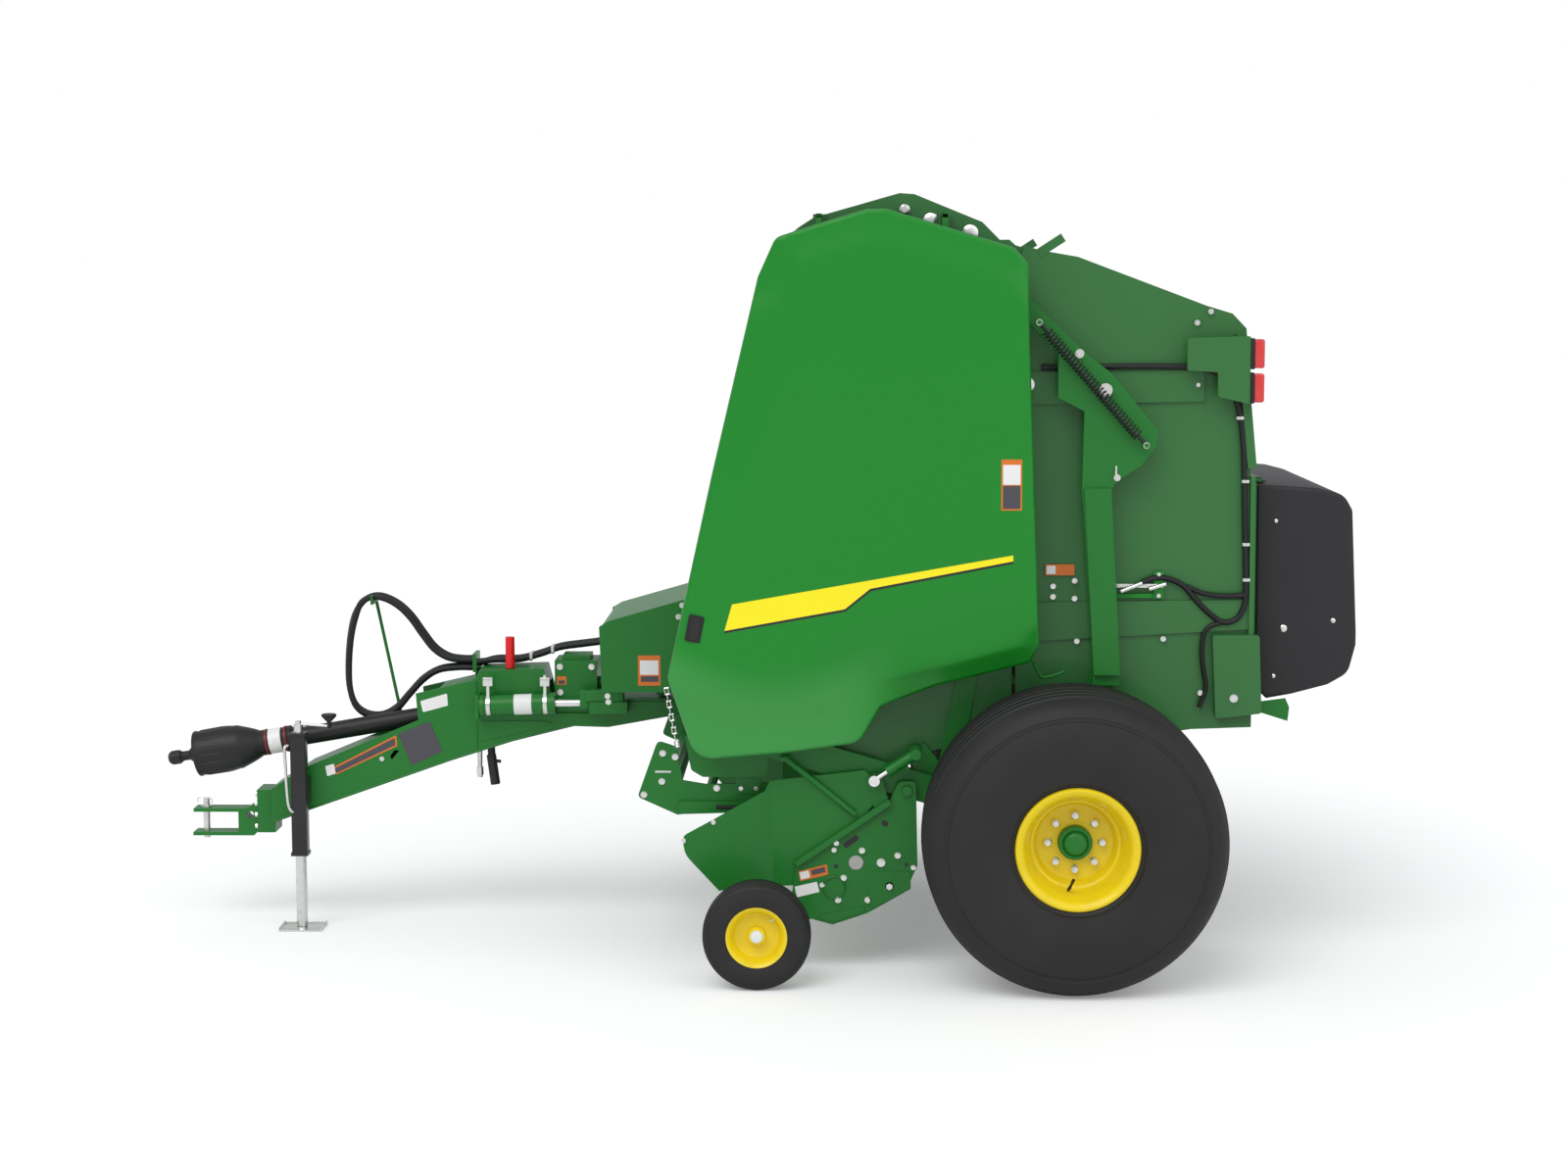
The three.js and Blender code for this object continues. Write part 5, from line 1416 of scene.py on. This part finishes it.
def steering_ram():
    """The cylinder along the tongue's side, with its clamps and blank label."""
    y = -0.165
    bm = bmesh.new()
    rod(bm, spot(-2.338, y, 0.920), spot(-2.060, y, 0.9290), 0.041, 36)
    rod(bm, spot(-2.338, y, 0.920), spot(-2.320, y, 0.9205), 0.044, 36)
    rod(bm, spot(-2.068, y, 0.9288), spot(-2.030, y, 0.930), 0.044, 36)
    block(bm, spot(-1.905, y - 0.032, 0.9405), spot(-1.750, y + 0.032, 0.986), 0.004)
    block(bm, spot(-1.930, y - 0.022, 0.912), spot(-1.8905, y + 0.022, 0.986), 0.005)
    finished("tongue_ram_barrel", bm, "frame", GREEN_FRAME, ["drawbar_cylinder"])
    bm = bmesh.new()
    rod(bm, spot(-2.040, y, 0.930), spot(-1.900, y, 0.932), 0.015, 28)
    finished("tongue_ram_rod", bm, "frame", CHROME)
    bm = bmesh.new()
    rod(bm, spot(-2.197, y, 0.9246), spot(-2.125, y, 0.9269), 0.0418, 36)
    finished("tongue_ram_label", bm, "frame", FILM_WHITE)
    bm = bmesh.new()
    rise = 0.032
    for x, top in ((-2.302, 1.040), (-2.070, 1.050)):
        ring = [(0.0405, -0.008), (0.0445, -0.008), (0.0445, 0.008), (0.0405, 0.008)]
        spun(bm, closed(ring), spot(x, y, 0.9205 + (x + 2.338) * rise), (1, 0, rise), 32)
        block(bm, spot(x - 0.006, y - 0.030, 0.950), spot(x + 0.006, y - 0.024, top), 0.001)
        block(bm, spot(x - 0.020, y - 0.034, 1.004), spot(x + 0.020, y - 0.020, 1.040), 0.003)
        rod(bm, spot(x, y - 0.030, 1.022), spot(x, -TONGUE, 1.022), 0.006, 12)
    finished("tongue_ram_clamps", bm, "frame", ZINC)


def lock_grip():
    bm = bmesh.new()
    profile = [(0, 1.0600), (0.0175, 1.0600), (0.019, 1.0615), (0.019, 1.185), (0.017, 1.1895), (0, 1.1905)]
    spun(bm, profile, spot(-2.225, -0.060, 0), (0, 0, 1), 32)
    finished("lock_grip", bm, "frame", RED_PLASTIC, ["lock_lever"])


def hoses_to_hood():
    """What the hoses' runs go on as behind the rack, clipped down and into the hood."""
    for i, y in enumerate((0.046, 0.076, 0.106)):
        line = [(-2.376, 1.072 - 0.008 * i), (-2.300, 1.080), (-2.200, 1.082), (-2.110, 1.105)]
        line += [(-2.030, 1.132), (-1.930, 1.146), (-1.830, 1.158), (-1.780, 1.160)]
        strip(f"hose_to_hood_{i + 1}", "frame", [(x, -y, z) for x, z in line], HOSE_RADIUS, HOSE, LEFT)
    bm = bmesh.new()
    for x, z in ((-2.150, 1.093), (-2.060, 1.122)):
        block(bm, spot(x - 0.007, 0.028, z - 0.016), spot(x + 0.007, 0.124, z + 0.016), 0.003)
    finished("hose_clips", bm, "frame", ZINC)


def hood_trim():
    face = 0.340
    border = [(-1.680, 1.150), (-1.590, 1.150), (-1.590, 1.028), (-1.680, 1.028)]
    field = [(-1.672, 1.130), (-1.598, 1.130), (-1.598, 1.072), (-1.672, 1.072)]
    bar = [(-1.668, 1.066), (-1.598, 1.066), (-1.598, 1.044), (-1.668, 1.044)]
    label("hood_label_border", "frame", border, 0.004, face, FILM_ORANGE, SIDES)
    label("hood_label_white", "frame", field, 0, face, FILM_WHITE, SIDES, 0.0018)
    label("hood_label_bar", "frame", bar, 0, face, FILM_GREY, SIDES, 0.0018)
    places = [(-1.501, 1.352), (-1.516, 1.306), (-1.800, 0.962), (-1.803, 0.986)]
    bolt_set("hood_bolts", "frame", places, face, 0.016, 0.006)


def parked_couplings():
    """Hose couplings parked under the tongue."""
    y = -0.060
    bm = bmesh.new()
    rod(bm, spot(-2.354, y, 0.770), spot(-2.355, y, 0.607), 0.010, 16)
    rod(bm, spot(-2.355, y, 0.650), spot(-2.355, y, 0.615), 0.014, 6)
    finished("coupling_steel", bm, "frame", ZINC)
    bm = bmesh.new()
    rod(bm, spot(-2.310, y, 0.790), spot(-2.306, y, 0.690), 0.016, 16)
    rod(bm, spot(-2.308, y, 0.700), spot(-2.292, y, 0.578), 0.020, 16)
    rod(bm, spot(-2.308, y, 0.676), spot(-2.268, y, 0.672), 0.007, 10)
    finished("coupling_black", bm, "frame", BLACK_PLASTIC)


tongue_seams()
steering_ram()
lock_grip()
hoses_to_hood()
hood_trim()
parked_couplings()


# ---------- windguard ----------
GUARD_FACE = 0.764
SKIRT_FACE = 0.7875


def windguard_bars(bm):
    block(bm, spot(-1.586, GUARD_FACE - 0.001, 0.750), spot(-1.524, GUARD_FACE + 0.003, 0.758), 0.001)
    rod(bm, spot(-1.386, 0.760, 0.614), spot(-1.386, 0.779, 0.614), 0.016, 20)


def windguard_damper(bm):
    rod(bm, spot(-1.350, 0.776, 0.618), spot(-1.200, 0.776, 0.614), 0.010, 14)


def windguard_gusset(bm):
    corners = [(-1.274, 0.745, 0.006), (-1.175, 0.745, 0.006), (-1.175, 0.668), (-1.274, 0.668)]
    sheet(bm, corners, GUARD_FACE - 0.0005, GUARD_FACE + 0.004, 0.001, 1)


def frame_skirt(bm):
    corners = [(-1.470, 0.900, 0.01), (-1.445, 0.765, 0.02), (-1.400, 0.738, 0.02), (-1.150, 0.738, 0.01)]
    sheet(bm, [*corners, (-1.150, 0.900)], SKIRT_FACE, SKIRT_FACE + 0.004)


def chain(bm):
    """A hanging chain of oval links, each turned a quarter from the last."""
    start, end = spot(-1.541, 0.757, 1.080), spot(-1.500, 0.757, 0.850)
    length, half_width, wire = 0.022, 0.007, 0.0035
    unit = (end - start).normalized()
    count = round((end - start).length / (length * 1.15))
    for k in range(count):
        middle = start.lerp(end, (k + 0.5) / count)
        across = Vector((0, 1, 0)) if k % 2 else unit.cross(Vector((0, 1, 0))).normalized()
        a, b = middle - unit * length * 0.55, middle + unit * length * 0.55
        for side in (-1, 1):
            rod(bm, a + across * side * half_width, b + across * side * half_width, wire, 8)
        for end_bar in (a, b):
            rod(bm, end_bar - across * 0.009, end_bar + across * 0.009, wire, 8)


UPPER_BOLTS = [(-1.556, 0.826), (-1.508, 0.812), (-1.560, 0.716), (-1.630, 0.664), (-1.348, 0.690)]
bolt_set("windguard_bolts", "pickup", UPPER_BOLTS, GUARD_FACE, 0.018)
bolt_set("windguard_low_bolts", "pickup", [(-1.254, 0.690), (-1.196, 0.690)], GUARD_FACE, 0.016)
on_both_sides(windguard_bars, "pickup", ZINC)
on_both_sides(windguard_damper, "pickup", BLACK_PLASTIC)
on_both_sides(windguard_gusset, "pickup", GREEN_FRAME)
on_both_sides(frame_skirt, "frame", GREEN_FRAME)
on_both_sides(chain, "pickup", ZINC)


# ---------- pickup ----------
PICKUP_FACE = 0.872
FLARE_WAY = (-0.295, 0.955, 0)
STRUT_Y = 0.879


def end_bolts():
    """Bolts in three sizes on the pickup's end plates."""
    places = [(-0.787, 0.468), (-0.650, 0.449), (-0.858, 0.361), (-0.879, 0.275), (-0.765, 0.275)]
    small = [(-0.885, 0.496), (-0.894, 0.470), (-0.940, 0.333), (-0.590, 0.402)]
    bolt_set("end_bolts", "pickup", places, PICKUP_FACE, 0.017)
    bolt_set("end_large_bolts", "pickup", [(-0.714, 0.421), (-0.682, 0.329)], PICKUP_FACE, 0.023, 0.010)
    bolt_set("end_small_bolts", "pickup", small, PICKUP_FACE, 0.014, 0.006)


def end_slots():
    """Black film over each slot and hole in the end plates, as painted shade of its dark inside; each given
    as corners and a corner radius.
    """
    hole_shades = (
        ([(-0.862, 0.492), (-0.808, 0.532), (-0.798, 0.512), (-0.850, 0.474)], 0.008),
        ([(-0.718, 0.571), (-0.706, 0.588), (-0.682, 0.578), (-0.692, 0.556)], 0.010),
        ([(-0.894, 0.414), (-0.878, 0.414), (-0.878, 0.398), (-0.894, 0.398)], 0.007),
        ([(-0.624, 0.420), (-0.610, 0.420), (-0.610, 0.406), (-0.624, 0.406)], 0.006),
    )
    # Each black sheet is painted shade, laid where a slot or hole shows its dark inside.
    for number, (corners, radius) in enumerate(hole_shades, 1):
        label(f"end_slot_{number}", "pickup", corners, radius, PICKUP_FACE, FILM_BLACK, SIDES, 0.0008)


def end_pressings(bm):
    ring = [(0.040, -0.002), (0.046, -0.002), (0.046, 0.004), (0.043, 0.006), (0.040, 0.004)]
    spun(bm, closed(ring), spot(-0.894, PICKUP_FACE, 0.323), (0, 1, 0), 40)
    rear = [(-0.760, 0.386, 0.01), (-0.600, 0.386, 0.01), (-0.600, 0.318), (-0.740, 0.245), (-0.760, 0.250)]
    low = [(-0.945, 0.215, 0.01), (-0.780, 0.250, 0.01), (-0.772, 0.232), (-0.898, 0.188), (-0.960, 0.200)]
    sheet(bm, rear, PICKUP_FACE - 0.002, PICKUP_FACE + 0.003, 0.001, 1)
    sheet(bm, low, PICKUP_FACE - 0.002, PICKUP_FACE + 0.004, 0.001, 1)


def flare_bolts(bm):
    """Bolts that stand square to the flared front of the end plate."""
    for x, z in ((-1.353, 0.590), (-1.465, 0.525)):
        hex_bolt(bm, spot(x, 0.8665 + (-1.130 - x) * 0.3095, z), FLARE_WAY, 0.014, 0.005)


def pickup_strut(bm):
    rod(bm, spot(-1.076, STRUT_Y, 0.824), spot(-0.814, STRUT_Y, 0.610), 0.012, 16)
    block(bm, spot(-1.100, STRUT_Y - 0.013, 0.815), spot(-1.060, STRUT_Y + 0.007, 0.835), 0.004)


def end_labels():
    border = [(-1.030, 0.386), (-0.922, 0.414), (-0.916, 0.374), (-1.024, 0.348)]
    white = [(-1.027, 0.382), (-0.992, 0.391), (-0.986, 0.363), (-1.021, 0.354)]
    bar = [(-0.982, 0.391), (-0.930, 0.404), (-0.926, 0.384), (-0.978, 0.371)]
    notice = [(-1.046, 0.326), (-0.960, 0.346), (-0.950, 0.306), (-1.036, 0.285)]
    label("end_label", "pickup", border, 0.003, PICKUP_FACE, FILM_ORANGE, SIDES)
    label("end_label_white", "pickup", white, 0, PICKUP_FACE, FILM_WHITE, SIDES, 0.0018)
    label("end_label_bar", "pickup", bar, 0, PICKUP_FACE, FILM_GREY, SIDES, 0.0018)
    label("end_notice", "pickup", notice, 0.003, PICKUP_FACE, FILM_WHITE, SIDES)


end_bolts()
end_slots()
on_both_sides(end_pressings, "pickup", GREEN_FRAME)
on_both_sides(flare_bolts, "pickup", ZINC)
on_both_sides(pickup_strut, "pickup", GREEN_FRAME)
end_labels()


# ---------- tailgate fittings ----------
GATE_SKIN = 0.801
GATE_FACE = 0.812


def at_gate(line):
    """Points of a hose that lies along the tailgate's side."""
    return [(x, GATE_FACE, z) for x, z in line]


def gate_hoses():
    """The harness from the hinge over the lamps, down the rear edge and back, with its two branches."""
    harness = [(-0.110, 2.312), (0.300, 2.316), (0.500, 2.306), (0.585, 2.262), (0.632, 2.170)]
    harness += [(0.655, 2.020), (0.664, 1.760), (0.672, 1.500), (0.668, 1.410), (0.640, 1.356)]
    harness += [(0.586, 1.343), (0.532, 1.379), (0.486, 1.425), (0.430, 1.486), (0.350, 1.514)]
    to_valve = (0.278, GATE_FACE + 0.006, 1.497)
    branch = [(0.674, 1.446), (0.585, 1.443), (0.513, 1.452), (0.449, 1.479)]
    drain = [(0.590, 1.343), (0.537, 1.325), (0.514, 1.288), (0.509, 1.224), (0.517, 1.151), (0.525, 1.087)]
    strip("gate_harness", "gate", [*at_gate(harness), to_valve], 0.011, HOSE)
    strip("gate_branch_hose", "gate", at_gate(branch), 0.010, HOSE)
    strip("gate_drain_hose", "gate", at_gate([*drain, (0.501, 1.014)]), 0.009, HOSE)


def gate_valve(bm):
    """The harness clips, and the valve's body with its two levers."""
    for x, z in ((0.640, 2.120), (0.664, 1.880), (0.670, 1.640), (0.673, 1.505)):
        block(bm, spot(x - 0.014, 0.800, z - 0.006), spot(x + 0.014, 0.8245, z + 0.006), 0.002)
    rod(bm, spot(0.196, 0.832, 1.462), spot(0.277, 0.832, 1.494), 0.008, 12)
    rod(bm, spot(0.304, 0.832, 1.471), spot(0.367, 0.832, 1.491), 0.008, 12)
    block(bm, spot(0.150, 0.800, 1.474), spot(0.359, 0.818, 1.490), 0.003)


def valve_bracket(bm):
    block(bm, spot(0.322, 0.800, 1.432), spot(0.362, GATE_FACE, 1.536), 0.003)
    block(bm, spot(0.150, 0.800, 1.434), spot(0.322, GATE_FACE, 1.452), 0.003)


def gate_bolts():
    rear = [(0.527, 2.521), (0.476, 2.479), (0.482, 2.245), (0.362, 1.277), (0.033, 1.268), (0.506, 1.069)]
    front = [(-0.059, 1.479), (-0.059, 1.439), (0.023, 1.432), (0.023, 1.500)]
    bolt_set("gate_bolts", "gate", rear + front, GATE_SKIN, 0.015)
    bolt_set("bracket_bolts", "gate", [(0.342, 1.525), (0.342, 1.444)], GATE_FACE, 0.011, 0.006)
    bolt_set("box_bolts", "gate", [(0.629, 1.053)], 0.838, 0.022)


def gate_labels():
    border = [(-0.089, 1.521), (0.022, 1.521), (0.022, 1.563), (-0.089, 1.563)]
    patch = [(-0.084, 1.526), (-0.050, 1.526), (-0.050, 1.558), (-0.084, 1.558)]
    label("gate_label", "gate", border, 0.003, GATE_SKIN, FILM_ORANGE)
    label("gate_label_patch", "gate", patch, 0.003, GATE_SKIN + 0.0015, FILM_WHITE)


def shield_hooks():
    """A bent rod under each shield's rear corner."""
    line = [(-0.176, 0.925, 1.262), (-0.140, 0.885, 1.202), (-0.118, 0.870, 1.158), (-0.099, 0.868, 1.138)]
    line += [(-0.060, 0.868, 1.145), (-0.018, 0.868, 1.160)]
    for side, sign in SIDES:
        strip("hook", f"{side}_shield", line, 0.006, GREEN_FRAME, ((side, sign),))


def roller_caps(bm):
    """Caps over the ends of the upper rollers, on the frame's sides."""
    for x, z, radius in ((-0.529, 2.862, 0.030), (-0.381, 2.818, 0.030), (-0.628, 2.905, 0.020)):
        cap = [(0, 0.0), (radius, 0.0), (radius, 0.006), (radius * 0.6, 0.012), (0, 0.012)]
        spun(bm, cap, spot(x, 0.804, z), (0, 1, 0), 28)


gate_hoses()
on_both_sides(gate_valve, "gate", ZINC)
on_both_sides(valve_bracket, "gate", GREEN)
gate_bolts()
gate_labels()
shield_hooks()
on_both_sides(roller_caps, "frame", ZINC)


# ---------- reel and bands ----------
REEL_X = -0.810
REEL_Z = 0.420
TINE_PITCH = 0.180
BAND_RADIUS = 0.190
BAND_THICK = 0.003
BAND_HALF = 0.055
BAR_CIRCLE = 0.118


def crop_bands():
    """Round bands between the tines, on their rail."""
    bm = bmesh.new()
    outer, inner = [], []
    for k in range(25):
        angle = math.radians(62 + 205 * k / 24)
        for radius, side in ((BAND_RADIUS, outer), (BAND_RADIUS - BAND_THICK, inner)):
            side.append((REEL_X + radius * math.cos(angle), REEL_Z + radius * math.sin(angle)))
    outline = [(-0.616, 0.610), *outer, (-0.6725, 0.304), (-0.6725, 0.309), *inner[::-1], (-0.616, 0.6065)]
    for i in range(9):
        y = (i - 4) * TINE_PITCH
        sheet(bm, outline, y - BAND_HALF, y + BAND_HALF)
    low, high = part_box("crop_bands")
    block(bm, spot(-0.630, low.y, 0.5985), spot(-0.616, high.y, 0.610), 0.002)
    finished("round_bands", bm, "pickup", GREEN_FRAME, ["crop_bands"])


def reel():
    """The tine bars with pairs of spring tines, on their arms and shaft."""
    low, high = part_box("tine_reel")
    centre, across = spot(REEL_X, 0, REEL_Z), Vector((0, 1, 0))
    steel_parts, tines = bmesh.new(), bmesh.new()
    rod(steel_parts, spot(REEL_X, low.y, REEL_Z), spot(REEL_X, high.y, REEL_Z), 0.028, 32)
    rod(steel_parts, centre - across * 0.820, centre + across * 0.820, 0.045, 24)
    for bar in range(4):
        angle = bar * math.tau / 4 + 0.4
        out = Vector((math.cos(angle), 0, math.sin(angle)))
        round_way = Vector((out.z, 0, -out.x))
        hub = centre + out * BAR_CIRCLE
        rod(steel_parts, hub - across * 0.815, hub + across * 0.815, 0.0135, 16)
        for y in (-0.810, 0, 0.810):
            arm = bmesh.ops.create_cube(steel_parts, size=1)["verts"]
            place = Matrix.Translation(centre + out * BAR_CIRCLE / 2 + across * y)
            size = Matrix.Diagonal((BAR_CIRCLE, 0.010, 0.040, 1))
            put(steel_parts, arm, place @ Matrix.Rotation(-angle, 4, "Y") @ size)
        for i in range(8):
            y = (i - 3.5) * TINE_PITCH
            middle = hub + across * y
            rod(tines, middle - across * 0.024, middle + across * 0.024, 0.0175, 16)
            for offset in (-0.022, 0.022):
                root = middle + across * offset + round_way * 0.012
                bend = centre + out * 0.185 + across * (y + offset) + round_way * 0.008
                tip = centre + out * 0.231 + across * (y + offset) - round_way * 0.004
                rod(tines, root, bend, 0.0030, 8)
                rod(tines, bend, tip, 0.0030, 8, 0.0020)
    finished("reel_frame", steel_parts, "tine_reel", BARE_STEEL, ["tine_reel"])
    finished("spring_tines", tines, "tine_reel", BARE_STEEL)


crop_bands()
reel()


# ---------- the parts that keep their plain shape ----------
dress(GREEN_FRAME, "main_frame", "front_panel", "drawbar", "hitch_clevis", "drive_hood", "hose_rack")
dress(GREEN_FRAME, "hose_hook", "gate_frame", "left_upright", "right_upright", "pickup_frame", "windguard")
dress(GREEN_FRAME, "gearbox")
dress(GREEN_SHEET, "left_side_panel", "right_side_panel", "left_gate_side", "right_gate_side")
dress(BARE_STEEL, "feed_rotor")
dress(NET_WHITE, "wrap_rolls")
